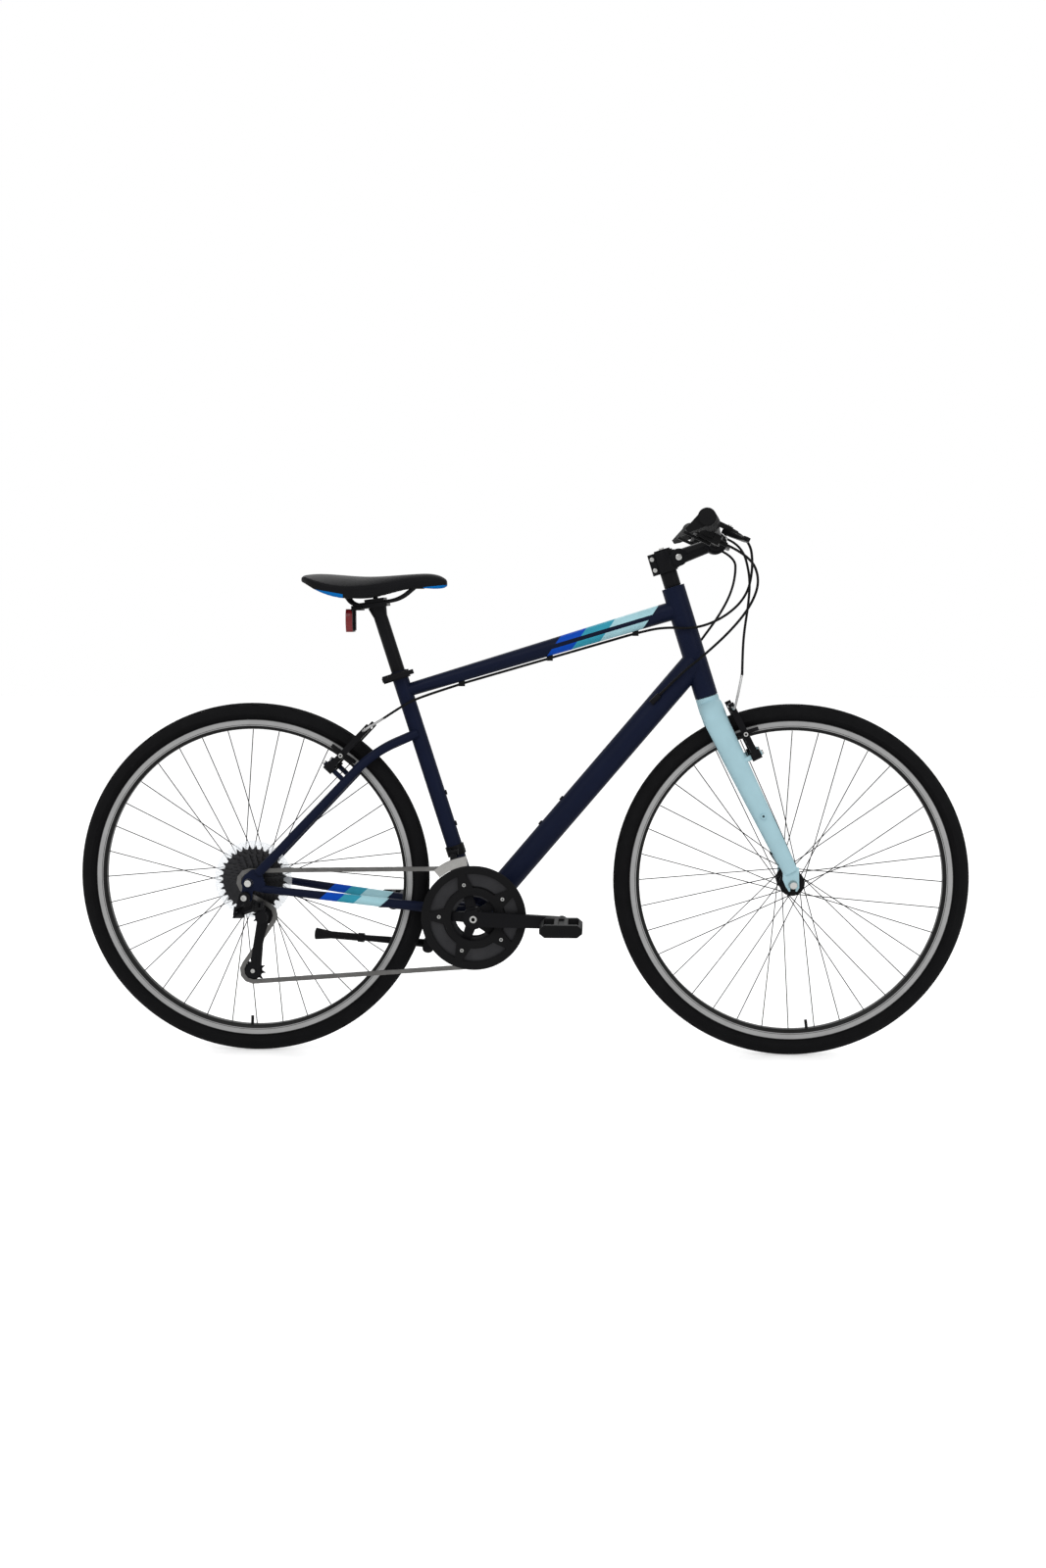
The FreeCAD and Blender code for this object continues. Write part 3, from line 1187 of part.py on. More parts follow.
def pedal(angle, side):
    """Platform with two open windows beside its bearing barrel."""
    half_long = PEDAL_LENGTH / 2
    half_high = PEDAL_HEIGHT / 2
    outline = [(-half_long, -4), (10 - half_long, -half_high), (half_long - 10, -half_high), (half_long, -4),
               (half_long, 4), (half_long - 10, half_high), (10 - half_long, half_high), (-half_long, 4)]
    start = polar(SHELL, CRANK_LENGTH, angle, side * (CRANK_OUTER_FACE + 4.0))
    width = Y_AXIS * (side * PEDAL_WIDTH)
    body = prism([V(start.x + x, start.y, start.z + z) for x, z in outline], width)
    for way in (-1, 1):
        middle = start + X_AXIS * (way * (half_long + 6) / 2) + width * 0.5
        size = V(half_long / 4, PEDAL_WIDTH / 2 - 13, PEDAL_HEIGHT)
        body = body.cut(box(middle - size, middle + size))
    waist = V(5.5, PEDAL_WIDTH / 2 - 13, 5)
    for way in (-1, 1):
        middle = start + width * 0.5 + Z_AXIS * (way * (half_high + 1))
        body = body.cut(box(middle - waist, middle + waist))
    return body.cut(rod(start, start + width, PEDAL_AXLE_DIAMETER / 2 + RUNNING_FIT))


# Rear derailleur: the link swings on a slanted pin, so the cage moves inwards and down.

SLANT = math.radians(SHIFT_SLANT)
LINK_AXIS = V(0, math.sin(SLANT), math.cos(SLANT))
LINK_SWING = LINK_AXIS.cross(X_AXIS)
LINK_REST = math.radians(SHIFT_LINK_ANGLE)
LINK_WAY = X_AXIS * math.cos(LINK_REST) - LINK_SWING * math.sin(LINK_REST)
KNUCKLE_PIVOT = GUIDE + V(-10.0, -26.0, 20.0)
MOUNT_PIVOT = KNUCKLE_PIVOT - LINK_WAY * SHIFT_LINK_LENGTH
LINK_PIN_RADIUS = 2.5
LINK_EYE_RADIUS = 7.0
LINK_HALF_HEIGHT = 5.0
LUG_THICKNESS = 4.0
CAGE_GAP = CHAIN_WIDTH / 2 + 0.7
CAGE_PLATE = 1.5
KNUCKLE_FACE = CHAIN_LINE + CAGE_GAP + CAGE_PLATE + 3.6
KNUCKLE_LENGTH = 24.0


def clevis(pivot, web_side):
    """Two lugs and a pin for the shift link, joined by a web on one side."""
    low = LINK_HALF_HEIGHT + CLEAR
    high = low + LUG_THICKNESS
    pieces = [rod(V(0, 0, -high), V(0, 0, high), LINK_PIN_RADIUS)]
    for way in (-1, 1):
        pieces.append(rod(V(0, 0, way * low), V(0, 0, way * high), LINK_EYE_RADIUS))
        near = box(V(0, -LINK_EYE_RADIUS, low), V(14, LINK_EYE_RADIUS, high))
        if web_side < 0:
            near = near.mirror(V(0, 0, 0), X_AXIS)
        pieces.append(near if way > 0 else near.mirror(V(0, 0, 0), Z_AXIS))
    web = box(V(8.5, -LINK_EYE_RADIUS, -high), V(14, LINK_EYE_RADIUS, high))
    pieces.append(web if web_side > 0 else web.mirror(V(0, 0, 0), X_AXIS))
    return placed(fused(pieces), pivot, X_AXIS, LINK_AXIS)


def rear_derailleur_mount():
    """Upper knuckle bolted to the hanger, with the clevis for the link."""
    face = DROPOUT_INNER + DROPOUT_THICKNESS
    bolt_in = V(HANGER_BOLT.x, -DROPOUT_INNER, HANGER_BOLT.z)
    bolt_out = V(HANGER_BOLT.x, -face - 1.0, HANGER_BOLT.z)
    body_in = V(HANGER_BOLT.x, -face, HANGER_BOLT.z)
    body_out = V(HANGER_BOLT.x, -face - 13.0, HANGER_BOLT.z)
    corners = [(HANGER_BOLT.x - 11, HANGER_BOLT.z), (HANGER_BOLT.x + 11, HANGER_BOLT.z),
               (MOUNT_PIVOT.x - 8.5, MOUNT_PIVOT.z + 6), (MOUNT_PIVOT.x - 8.5, MOUNT_PIVOT.z - 9),
               (MOUNT_PIVOT.x - 14, MOUNT_PIVOT.z - 9)]
    arm = prism([V(x, -face - 1.0, z) for x, z in corners], Y_AXIS * -10)
    bolt = rod(bolt_in, bolt_out, AXLE_RADIUS - RUNNING_FIT)
    return fused([bolt, rod(body_in, body_out, 11.0), arm, clevis(MOUNT_PIVOT, -1)])


def rear_derailleur_link():
    bore = LINK_PIN_RADIUS + RUNNING_FIT
    low = V(0, 0, -LINK_HALF_HEIGHT)
    high = V(0, 0, LINK_HALF_HEIGHT)
    far = V(SHIFT_LINK_LENGTH, 0, 0)
    body = box(V(0, -4.5, -LINK_HALF_HEIGHT), V(SHIFT_LINK_LENGTH, 4.5, LINK_HALF_HEIGHT))
    link = fused([rod(low, high, LINK_EYE_RADIUS), rod(low + far, high + far, LINK_EYE_RADIUS), body])
    link = link.cut(rod(low, high, bore)).cut(rod(low + far, high + far, bore))
    return placed(link, MOUNT_PIVOT, LINK_WAY, LINK_AXIS)


def on_guide(plane):
    return V(GUIDE.x, -plane, GUIDE.z)


def on_tension(plane):
    return V(TENSION.x, -plane, TENSION.z)


def rear_derailleur_knuckle():
    """Lower knuckle: a barrel round the cage's pivot and a clevis on top of it."""
    end = KNUCKLE_FACE + KNUCKLE_LENGTH
    barrel = rod(on_guide(KNUCKLE_FACE), on_guide(end), 12.0)
    rib = box(V(KNUCKLE_PIVOT.x + 8.5, -end, GUIDE.z),
              V(KNUCKLE_PIVOT.x + 16, -KNUCKLE_FACE - 6, GUIDE.z + 18))
    bore = rod(on_guide(KNUCKLE_FACE), on_guide(end - 6), 5.0 + RUNNING_FIT)
    return fused([barrel, rib, clevis(KNUCKLE_PIVOT, 1)]).cut(bore)


def rear_derailleur_cage():
    """Two plates on the pulley bolts, with the stub that turns in the lower knuckle."""
    reach = CAGE_LENGTH
    outline = [(-12, -6), (-6, -12), (12, -11), (reach - 16, -8), (reach + 6, -15), (reach + 14, -8),
               (reach + 14, 6), (reach + 4, 17), (reach - 8, 14), (reach * 0.5, 8), (12, 11), (-6, 12),
               (-12, 6)]
    across = V(CAGE_DOWN.z, 0, -CAGE_DOWN.x)
    pieces = []
    for plane in (CHAIN_LINE + CAGE_GAP, CHAIN_LINE - CAGE_GAP - CAGE_PLATE):
        corners = [on_guide(plane) + CAGE_DOWN * a - across * b for a, b in outline]
        pieces.append(prism(corners, Y_AXIS * -CAGE_PLATE))
    far = CHAIN_LINE + CAGE_GAP + CAGE_PLATE
    near = CHAIN_LINE - CAGE_GAP - CAGE_PLATE
    pieces.append(rod(on_guide(near), on_guide(far), PULLEY_PIN_RADIUS))
    pieces.append(rod(on_tension(near), on_tension(far), PULLEY_PIN_RADIUS))
    pieces.append(rod(on_guide(far), on_guide(KNUCKLE_FACE - CLEAR), 8.0))
    pieces.append(rod(on_guide(KNUCKLE_FACE - CLEAR), on_guide(KNUCKLE_FACE + KNUCKLE_LENGTH - 7), 5.0))
    return fused(pieces)


PULLEY_PIN_RADIUS = 3.0


def pulley(center, phase):
    bore = PULLEY_PIN_RADIUS + RUNNING_FIT
    disc = sprocket(center, PULLEY_TEETH, CHAIN_LINE, phase, bore)
    half = Y_AXIS * (CAGE_GAP - CLEAR)
    middle = V(center.x, -CHAIN_LINE, center.z)
    hub = sleeve(middle - half, middle + half, 8.0, bore)
    return fused([disc, hub])


# Front derailleur: the link hangs from the clamp, so the cage moves across the rings.

FD_STATION = 132.0
FD_LINK_LENGTH = 25.0
FD_LINK_ANGLE = 18.7
FD_SWING = math.radians(FD_LINK_ANGLE)
FD_PIVOT = on_seat(FD_STATION, -2.0, -34.0)
FD_WAY = V(0, -math.sin(FD_SWING), -math.cos(FD_SWING))
FD_LOW_PIVOT = FD_PIVOT + FD_WAY * FD_LINK_LENGTH
FD_EYE_RADIUS = 5.5
FD_HALF_WIDTH = 6.0
FD_PIN_RADIUS = 2.0
FD_PLATE_LOW = pitch_radius(RING_TEETH[-1]) + 3.6 + 2.8
FD_PLATE_HIGH = FD_PLATE_LOW + 18.0


def fd_lugs(pivot):
    """Two ears and the pin between them."""
    near = FD_HALF_WIDTH + CLEAR
    far = near + 3.0
    pieces = [rod(pivot - X_AXIS * far, pivot + X_AXIS * far, FD_PIN_RADIUS)]
    for way in (-1, 1):
        pieces.append(rod(pivot + X_AXIS * (way * near), pivot + X_AXIS * (way * far), FD_EYE_RADIUS))
    return pieces


def front_derailleur_clamp():
    """Band round the seat tube with the ears for the link."""
    low = on_seat(FD_STATION - 10)
    high = on_seat(FD_STATION + 10)
    pieces = fd_lugs(FD_PIVOT) + [rod(low, high, SEAT_TUBE_DIAMETER / 2 + 3)]
    for way in (-1, 1):
        near = FD_HALF_WIDTH + CLEAR
        corner = FD_PIVOT + V(near if way > 0 else -near - 3, 0, -FD_EYE_RADIUS)
        pieces.append(box(corner, corner + V(3, -FD_PIVOT.y - 8, 2 * FD_EYE_RADIUS)))
    return fused(pieces).cut(seat_tube_envelope())


def front_derailleur_link():
    half = X_AXIS * FD_HALF_WIDTH
    pieces = []
    for p in (FD_PIVOT, FD_LOW_PIVOT):
        pieces.append(rod(p - half, p + half, FD_EYE_RADIUS))
    side = V(0, -FD_WAY.z, FD_WAY.y) * 4.0
    high = FD_PIVOT - half
    low = FD_LOW_PIVOT - half
    corners = [high + side, low + side, low - side, high - side]
    pieces.append(prism(corners, half * 2))
    link = fused(pieces)
    for p in (FD_PIVOT, FD_LOW_PIVOT):
        link = link.cut(rod(p - half, p + half, FD_PIN_RADIUS + RUNNING_FIT))
    return link


def ring_sector(low, high, first, last, plane, thickness):
    """Part of a flat ring round the bottom bracket, between two angles."""
    middle = (first + last) / 2
    outer = Part.Arc(polar(SHELL, high, first, -plane), polar(SHELL, high, middle, -plane),
                     polar(SHELL, high, last, -plane)).toShape()
    inner = Part.Arc(polar(SHELL, low, last, -plane), polar(SHELL, low, middle, -plane),
                     polar(SHELL, low, first, -plane)).toShape()
    ends = [Part.LineSegment(polar(SHELL, high, last, -plane), polar(SHELL, low, last, -plane)).toShape(),
            Part.LineSegment(polar(SHELL, low, first, -plane), polar(SHELL, high, first, -plane)).toShape()]
    wire = Part.Wire([outer, ends[0], inner, ends[1]])
    return Part.Face(wire).extrude(Y_AXIS * -thickness)


def front_derailleur_cage():
    """Two curved plates over the big ring, bridged above the chain and hung from the link."""
    gap = CHAIN_WIDTH / 2 + 1.0
    plate = 1.2
    outer = CHAIN_LINE + gap
    inner = CHAIN_LINE - gap - plate
    pieces = [ring_sector(FD_PLATE_LOW, FD_PLATE_HIGH, 97.0, 130.0, outer, plate),
              ring_sector(FD_PLATE_LOW, FD_PLATE_HIGH, 97.0, 130.0, inner, plate),
              ring_sector(FD_PLATE_HIGH - 2, FD_PLATE_HIGH, 97.0, 112.0, inner, 2 * (gap + plate))]
    near = FD_HALF_WIDTH + CLEAR
    low = FD_LOW_PIVOT
    for way in (-1, 1):
        corner = low + V(near if way > 0 else -near - 3, 0, -4.0)
        pieces.append(box(V(corner.x, -inner - plate / 2, corner.z), V(corner.x + 3, low.y, corner.z + 8)))
    return fused(pieces + fd_lugs(low))


# Brakes: an arm on each boss, drawn with X up the arm, Y outboard and Z out along the boss.

ARM_HALF_THICKNESS = 6.0
CABLE_HOLE = 4.2
PAD_DEPTH = 10.0
NOODLE_HEIGHT = BRAKE_ARM_LENGTH - 6.0


def brake_arm(layout):
    """Arm with its eye on the boss, the pad on its post, and the hole for the cable."""
    thick = ARM_HALF_THICKNESS
    top = BRAKE_ARM_LENGTH
    outline = [(0, -8.5), (30, -6), (top - 8, -8), (top + 4, -6), (top + 4, 3), (top - 10, 6), (40, 7),
               (0, 9)]
    body = prism([V(x, y, -thick) for x, y in outline], Z_AXIS * (2 * thick))
    eye = rod(V(0, 0, -10), V(0, 0, 10), 9.5)
    bore = rod(V(0, 0, -11), V(0, 0, 11), BOSS_DIAMETER / 2 + RUNNING_FIT)
    hole = rod(V(NOODLE_HEIGHT, -20, 0), V(NOODLE_HEIGHT, 20, 0), CABLE_HOLE)
    arm = fused([eye, body]).cut(bore).cut(hole)
    face = RIM_WIDTH / 2 + PAD_GAP - BRAKE_PIVOT_SPREAD
    height = layout["pad"]
    sections = []
    for z in (-PAD_LENGTH / 2, PAD_LENGTH / 2):
        corners = [V(height - 3.7, face, z), V(height + 3.7, face, z),
                   V(height + 3.0, face + PAD_DEPTH, z * 0.86), V(height - 3.0, face + PAD_DEPTH, z * 0.86)]
        sections.append(Part.makePolygon(corners + corners[:1]))
    pad = Part.makeLoft(sections, True, True)
    pad.rotate(V(height, 0, 0), Y_AXIS, -layout["tilt"])
    post = rod(V(height, face + PAD_DEPTH, 0), V(height, 0, 0), 4.0).cut(arm)
    cap = rod(V(height, 0, 0), V(height, 13, 0), 6.0).cut(arm)
    whole = Part.makeCompound([arm] + pad.Solids + post.Solids + cap.Solids)
    if layout["out"].cross(layout["up"]).y < 0:
        whole = mirrored(whole)
    return placed(whole, layout["pivot"], layout["up"], layout["out"])


# Seat

RAIL_CENTER = on_seat(SEATPOST_STATION + 4.0)
RAIL_RADIUS = RAIL_DIAMETER / 2


def by_rails(ahead, left, up):
    """Point counted from where the post's axis crosses the saddle rails."""
    return RAIL_CENTER + V(ahead, left, up)


def rail():
    """One bent rail, from the back of the saddle under the clamp to the nose."""
    course = [by_rails(-62, RAIL_SPREAD + 2, 20), by_rails(-44, RAIL_SPREAD, -6),
              by_rails(46, RAIL_SPREAD, 5.8), by_rails(80, RAIL_SPREAD / 2, 33)]
    return swept(course, RAIL_RADIUS, 8)


def saddle_rails():
    """Both rails with the sockets that hold their ends under the saddle."""
    left = rail()
    sockets = [box(by_rails(-72, RAIL_SPREAD - 7, 12), by_rails(-52, RAIL_SPREAD + 11, 26.4))]
    sockets.append(mirrored(sockets[0]))
    sockets.append(box(by_rails(70, -RAIL_SPREAD / 2 - 6, 27), by_rails(94, RAIL_SPREAD / 2 + 6, 33)))
    return fused([left, mirrored(left)] + sockets).cut(saddle())


def seatpost():
    """Plain tube with a flared head and a two-piece clamp round the rails."""
    radius = SEATPOST_DIAMETER / 2
    neck = on_seat(SEATPOST_STATION - 24)
    stem = rod(on_seat(SEAT_TUBE_LENGTH - SEATPOST_INSERTION), neck, radius)
    flare = taper(neck, on_seat(SEATPOST_STATION - 3), radius, radius + 5)
    slope = V(90.0, 0, 11.8).normalize()
    up = V(-slope.z, 0, slope.x)
    cradle = box(V(-24, -RAIL_SPREAD - 8, -9), V(24, RAIL_SPREAD + 8, -0.6))
    clamp = box(V(-19, -RAIL_SPREAD - 7, 0.6), V(19, RAIL_SPREAD + 7, 8))
    bolt = rod(V(0, 0, -9), V(0, 0, 12), 5.0)
    head = placed(fused([cradle, clamp, bolt]), RAIL_CENTER, slope, up)
    half = slope * 40
    grooves = [rod(by_rails(0, y, -0.23) - half, by_rails(0, y, -0.23) + half, RAIL_RADIUS + RUNNING_FIT)
               for y in (-RAIL_SPREAD, RAIL_SPREAD)]
    return fused([stem, flare, head]).cut(grooves[0]).cut(grooves[1])


# Saddle sections from back to nose: share of length, share of half width, then the heights
# of the crown, the edge of the crown, the hollow underneath and the foot of the skirt.
SADDLE_SECTIONS = (
    (0.00, 0.60, 54.0, 48.0, 41.0, 38.5),
    (0.08, 0.93, 56.0, 44.0, 34.0, 29.0),
    (0.26, 1.00, 54.0, 31.0, 27.0, 10.0),
    (0.43, 0.79, 51.0, 31.0, 25.0, 8.5),
    (0.62, 0.45, 53.0, 38.0, 28.0, 20.0),
    (0.80, 0.29, 56.5, 44.0, 31.0, 28.0),
    (0.93, 0.24, 54.5, 43.0, 29.0, 26.5),
    (1.00, 0.14, 44.0, 39.0, 33.0, 31.5),
)


def saddle_section(share, wide, crown, edge, hollow, foot):
    x = SADDLE_LENGTH * share - SADDLE_REAR_BEHIND_POST
    half = SADDLE_WIDTH / 2 * wide
    skirt = half * 0.94
    inside = skirt - min(8.0, half * 0.3)
    left = [by_rails(x, half, edge), by_rails(x, skirt, foot), by_rails(x, inside, foot),
            by_rails(x, inside * 0.9, hollow)]
    right = [V(p.x, -p.y, p.z) for p in reversed(left)]
    top = Part.Arc(right[-1], by_rails(x, 0, crown), left[0]).toShape()
    return Part.Wire([top] + list(Part.makePolygon(left + right).Edges))


def saddle():
    """Padded seat: crowned across, dished along, with drawn-in sides and a hollow underside."""
    return Part.makeLoft([saddle_section(*values) for values in SADDLE_SECTIONS], True, False)


def rear_reflector():
    """Reflector hung under the back of the rails."""
    strap = box(by_rails(-46, -RAIL_SPREAD - 4, -15), by_rails(-26, RAIL_SPREAD + 4, -6))
    arm = box(by_rails(-44, -7, -54), by_rails(-40, 7, -10))
    outline = [(-27, -42), (-21, -57), (21, -57), (27, -42), (27, -22), (21, -12.5), (-21, -12.5), (-27, -22)]
    body = prism([by_rails(-57, y, z) for y, z in outline], X_AXIS * 13)
    return fused([strap, arm, body]).cut(rail()).cut(mirrored(rail()))


COLLAR_RADIUS = SEAT_TUBE_DIAMETER / 2 + 4.5
COLLAR_HEIGHT = 15.0
COLLAR_STATION = SEAT_TUBE_LENGTH - COLLAR_HEIGHT / 2 - 1.0
COLLAR_EAR = 14.0
SEAT_CAM = on_seat(COLLAR_STATION, -COLLAR_RADIUS - 5.5, -COLLAR_EAR - 5.0 - CAM_ABOVE_SEAT)


def seat_collar():
    """Split clamp ring at the top of the seat tube, with its bolt and cam seat."""
    half = COLLAR_HEIGHT / 2
    low = on_seat(COLLAR_STATION - half)
    high = on_seat(COLLAR_STATION + half)
    ear = box(V(-COLLAR_RADIUS - 12, -COLLAR_EAR, -half), V(-SEAT_TUBE_DIAMETER / 2, COLLAR_EAR, half))
    slit = box(V(-COLLAR_RADIUS - 13, -1.5, -half), V(-8, 1.5, half))
    ear, slit = (placed(s, on_seat(COLLAR_STATION), SEAT_AHEAD, SEAT_UP) for s in (ear, slit))
    ring = fused([rod(low, high, COLLAR_RADIUS), ear]).cut(slit).cut(seat_tube_envelope())
    bolt_end = V(SEAT_CAM.x, COLLAR_EAR + 7, SEAT_CAM.z)
    bolt = rod(V(SEAT_CAM.x, -COLLAR_EAR, SEAT_CAM.z), bolt_end, 3.0)
    nut = rod(V(SEAT_CAM.x, COLLAR_EAR, SEAT_CAM.z), bolt_end, 6.0)
    return fused([ring, bolt, nut, cam_seat(SEAT_CAM, SEAT_AHEAD, Y_AXIS * -1, 6.5)])


# Kickstand

KICK_PIVOT = V(SHELL.x - 98.0, 31.0, SHELL.z - 69.0)
KICK_AXIS = V(0, -0.89, -0.45).normalize()
KICK_STOWED = V(-0.985, 0.16, 0.05).normalize()
KICK_PIN_RADIUS = 4.0
KICK_EYE_HALF = 8.0
KICK_EYE_RADIUS = 11.0
KICK_PLATE_HALF = 21.0


def kickstand_bracket():
    """Plates clamped round the chainstays, and the arm down to the leg's pin."""
    middle = chainstay_point(SHELL.x - 61.0, 0)
    slope = (chainstay_point(0, 0) - chainstay_point(-100, 0)).normalize()
    up = V(-slope.z, 0, slope.x)
    near = CHAINSTAY_SHELL_DIAMETER / 2 - 0.1
    far = near + 4.0
    long = KICK_PLATE_HALF
    plates = [box(V(-long, -36, near), V(long, 36, far)), box(V(-long, -36, -far), V(long, 36, -near)),
              rod(V(0, 0, -far), V(0, 0, far + 4), 6.0)]
    clamp = placed(fused(plates), middle, slope, up)
    top = middle.z - near - 2.5
    inner = 8.0
    foot = KICK_PIVOT
    outline = [(middle.x - 18, top - 1), (middle.x + 14, top + 1), (foot.x + 12, foot.z - 8),
               (foot.x - 9, foot.z - 8)]
    arm = prism([V(x, inner, z) for x, z in outline], Y_AXIS * 10)
    boss = rod(foot + KICK_AXIS * 17, foot + KICK_AXIS * (KICK_EYE_HALF + CLEAR), KICK_EYE_RADIUS)
    pin = rod(foot + KICK_AXIS * 17, foot - KICK_AXIS * (KICK_EYE_HALF + 2), KICK_PIN_RADIUS)
    return fused([clamp, arm, boss, pin])


def along_leg(share):
    return KICK_PIVOT + KICK_STOWED * (KICKSTAND_LEG_LENGTH * share)


def kickstand_leg():
    """Rod from its eye into a sleeve with a locking collar and a flared foot."""
    half = KICK_AXIS * KICK_EYE_HALF
    eye = rod(KICK_PIVOT - half, KICK_PIVOT + half, KICK_EYE_RADIUS)
    shank = taper(KICK_PIVOT, along_leg(0.60), 8.5, 6.0)
    collar = rod(along_leg(0.57), along_leg(0.62), 9.5)
    sleeve_end = along_leg(0.87)
    outer = rod(along_leg(0.60), sleeve_end, 7.5)
    foot = taper(sleeve_end, along_leg(1.0), 7.8, 12.0)
    leg = fused([fused([eye, shank]), collar, outer, foot])
    return leg.cut(rod(KICK_PIVOT - half * 2, KICK_PIVOT + half * 2, KICK_PIN_RADIUS + RUNNING_FIT))


# Cables: each runs from its control to the frame in straight runs and tangent arcs.

CABLE_RADIUS = 2.5
CABLE_SIDES = 8
BRAKE_EXIT = on_control(V(48, -28, 5))
BRAKE_EXIT_WAY = (BRAKE_EXIT - on_control(V(36, -14, 5))).normalize()
SHIFT_EXIT = on_control(V(40, -44, -22))
SHIFT_EXIT_WAY = (SHIFT_EXIT - on_control(V(26, -42, -22))).normalize()
PORT_BEFORE_HEAD = 109.6
PORT_TURN = 28.0
CLIP_SHARES = (0.20, 0.52, 0.83)


def to_right(p):
    return V(p.x, -p.y, p.z)


def by_bar(ahead, left, up):
    """Point counted from the middle of the handlebar."""
    return BAR_CENTER + V(ahead, left, up)


def cable_hole(layout, side):
    """Middle of the cable hole in a brake arm."""
    p = layout["pivot"] + layout["up"] * NOODLE_HEIGHT
    return V(p.x, side * p.y, p.z)


def port(side):
    """Where a gear cable enters the shoulder of the down tube."""
    reach = DOWN_TUBE_DIAMETER / 2 + CABLE_RADIUS + 1.0
    turn = math.radians(PORT_TURN)
    out = DOWN_TUBE_UP * math.sin(turn) + Y_AXIS * (side * math.cos(turn))
    return DOWN_TUBE_FRONT - DOWN_TUBE_WAY * PORT_BEFORE_HEAD + out * reach


def under_top_tube(share):
    """Cable's place below the top tube, by its share of the way from seat to head."""
    way = (TOP_TUBE_FRONT - TOP_TUBE_REAR).normalize()
    up = V(-way.z, 0, way.x)
    depth = TOP_TUBE_SEAT_DIAMETER + (TOP_TUBE_HEAD_DIAMETER - TOP_TUBE_SEAT_DIAMETER) * share
    return TOP_TUBE_REAR + (TOP_TUBE_FRONT - TOP_TUBE_REAR) * share - up * (depth / 2 + CABLE_RADIUS + 1.5)


def left_gear_course():
    start = SHIFT_EXIT
    return [start, start + SHIFT_EXIT_WAY * 38, by_bar(48, SHIFT_EXIT.y * 0.79, -58),
            by_bar(36, 70, -98), by_bar(12, 46, -140),
            by_bar(-22, 36, -186), by_bar(-52, 31, -226), by_bar(-80, 27, -266), port(1)]


def right_gear_course():
    start = to_right(SHIFT_EXIT)
    return [start, start + to_right(SHIFT_EXIT_WAY) * 48, by_bar(80, SHIFT_EXIT.y * -0.68, -70),
            by_bar(68, -66, -116),
            by_bar(32, -50, -165), by_bar(-24, -38, -218), by_bar(-60, -32, -246), port(-1)]


def rear_brake_course():
    start = to_right(BRAKE_EXIT)
    hole = cable_hole(REAR_BRAKE, -1)
    seat = on_seat(SEAT_TUBE_LENGTH - 56)
    return [start, start + to_right(BRAKE_EXIT_WAY) * 40, by_bar(67, BRAKE_EXIT.y * -0.59, -48),
            by_bar(58, -62, -102),
            by_bar(18, -45, -142), by_bar(-38, -35, -165), under_top_tube(0.93) + V(0, -18, -3),
            under_top_tube(CLIP_SHARES[2]), under_top_tube(CLIP_SHARES[0]), seat + V(18, -24, 0),
            seat + V(-12, -28, -17), hole + V(42, -38, 26), hole + V(0, -48, 0), hole + V(0, 100, 0)]


def front_brake_course():
    start = BRAKE_EXIT
    hole = cable_hole(FRONT_BRAKE, -1)
    return [start, start + BRAKE_EXIT_WAY * 44, by_bar(74, BRAKE_EXIT.y * 0.443, -60), by_bar(69, 34, -115),
            by_bar(58, 0, -170),
            by_bar(52, -46, -212), hole + V(14, -46, 66), hole + V(0, -48, 0), hole + V(0, 100, 0)]


def cable(name, course):
    """Round cable along its course, reporting its bends and its length."""
    made = swept(course, CABLE_RADIUS, CABLE_SIDES)
    wire = route(course)
    bends = [edge.Curve.Radius for edge in wire.Edges if hasattr(edge.Curve, "Radius")]
    section = CABLE_SIDES / 2 * CABLE_RADIUS ** 2 * math.sin(2 * math.pi / CABLE_SIDES)
    share = made.Volume / (section * wire.Length)
    radii = [round(r) for r in bends]
    print(name, "length", round(wire.Length), "bend radii", radii, "volume share", round(share, 4))
    return made


def control_cables():
    """Both gear cables to the down tube and the rear brake cable along the top tube."""
    return Part.makeCompound([cable("left gear cable", left_gear_course()),
                              cable("right gear cable", right_gear_course()),
                              cable("rear brake cable", rear_brake_course())])


def front_brake_cable():
    """Front brake cable with the rubber boot between the arms."""
    middle = cable_hole(FRONT_BRAKE, 0)
    boot = rod(middle - Y_AXIS * 22, middle + Y_AXIS * 22, CABLE_RADIUS + 2.5)
    return fused([cable("front brake cable", front_brake_course()), boot])


# Fittings on the frame

def bottle_boss(center, out, reach):
    """Threaded boss for a bottle cage, standing off its tube."""
    return sleeve(center + out * (reach - 1.0), center + out * (reach + 2.5), 5.0, BOSS_HOLE_RADIUS)


def bottle_bosses():
    made = []
    for center in seat_tube_bosses():
        made.append(bottle_boss(center, SEAT_AHEAD, SEAT_TUBE_DIAMETER / 2).cut(seat_tube_envelope()))
    for center in down_tube_bosses():
        made.append(bottle_boss(center, DOWN_TUBE_UP, DOWN_TUBE_DIAMETER / 2).cut(down_tube_solid()))
    return made


def cable_guides():
    """Clips under the top tube and the entry ports on the down tube."""
    cables = control_cables()
    made = []
    for share in CLIP_SHARES:
        p = under_top_tube(share)
        clip = box(p - V(6, 5, 5), p + V(6, 5, 8))
        made.append(clip.cut(top_tube_solid()).cut(cables))
    for side, course in ((1, left_gear_course()), (-1, right_gear_course())):
        way = (course[-2] - course[-1]).normalize()
        ferrule = rod(port(side) - way * 8, port(side) + way * 14, CABLE_RADIUS + 3)
        made.append(ferrule.cut(down_tube_solid()).cut(cables))
    return made


def frame_fittings():
    pieces = bottle_bosses() + cable_guides()
    pieces += [seat_collar(), kickstand_bracket(), front_derailleur_clamp()]
    return Part.makeCompound([solid for piece in pieces for solid in piece.Solids])


def seat_lever():
    return cam_lever(SEAT_CAM, SEAT_AHEAD, Y_AXIS * -1)


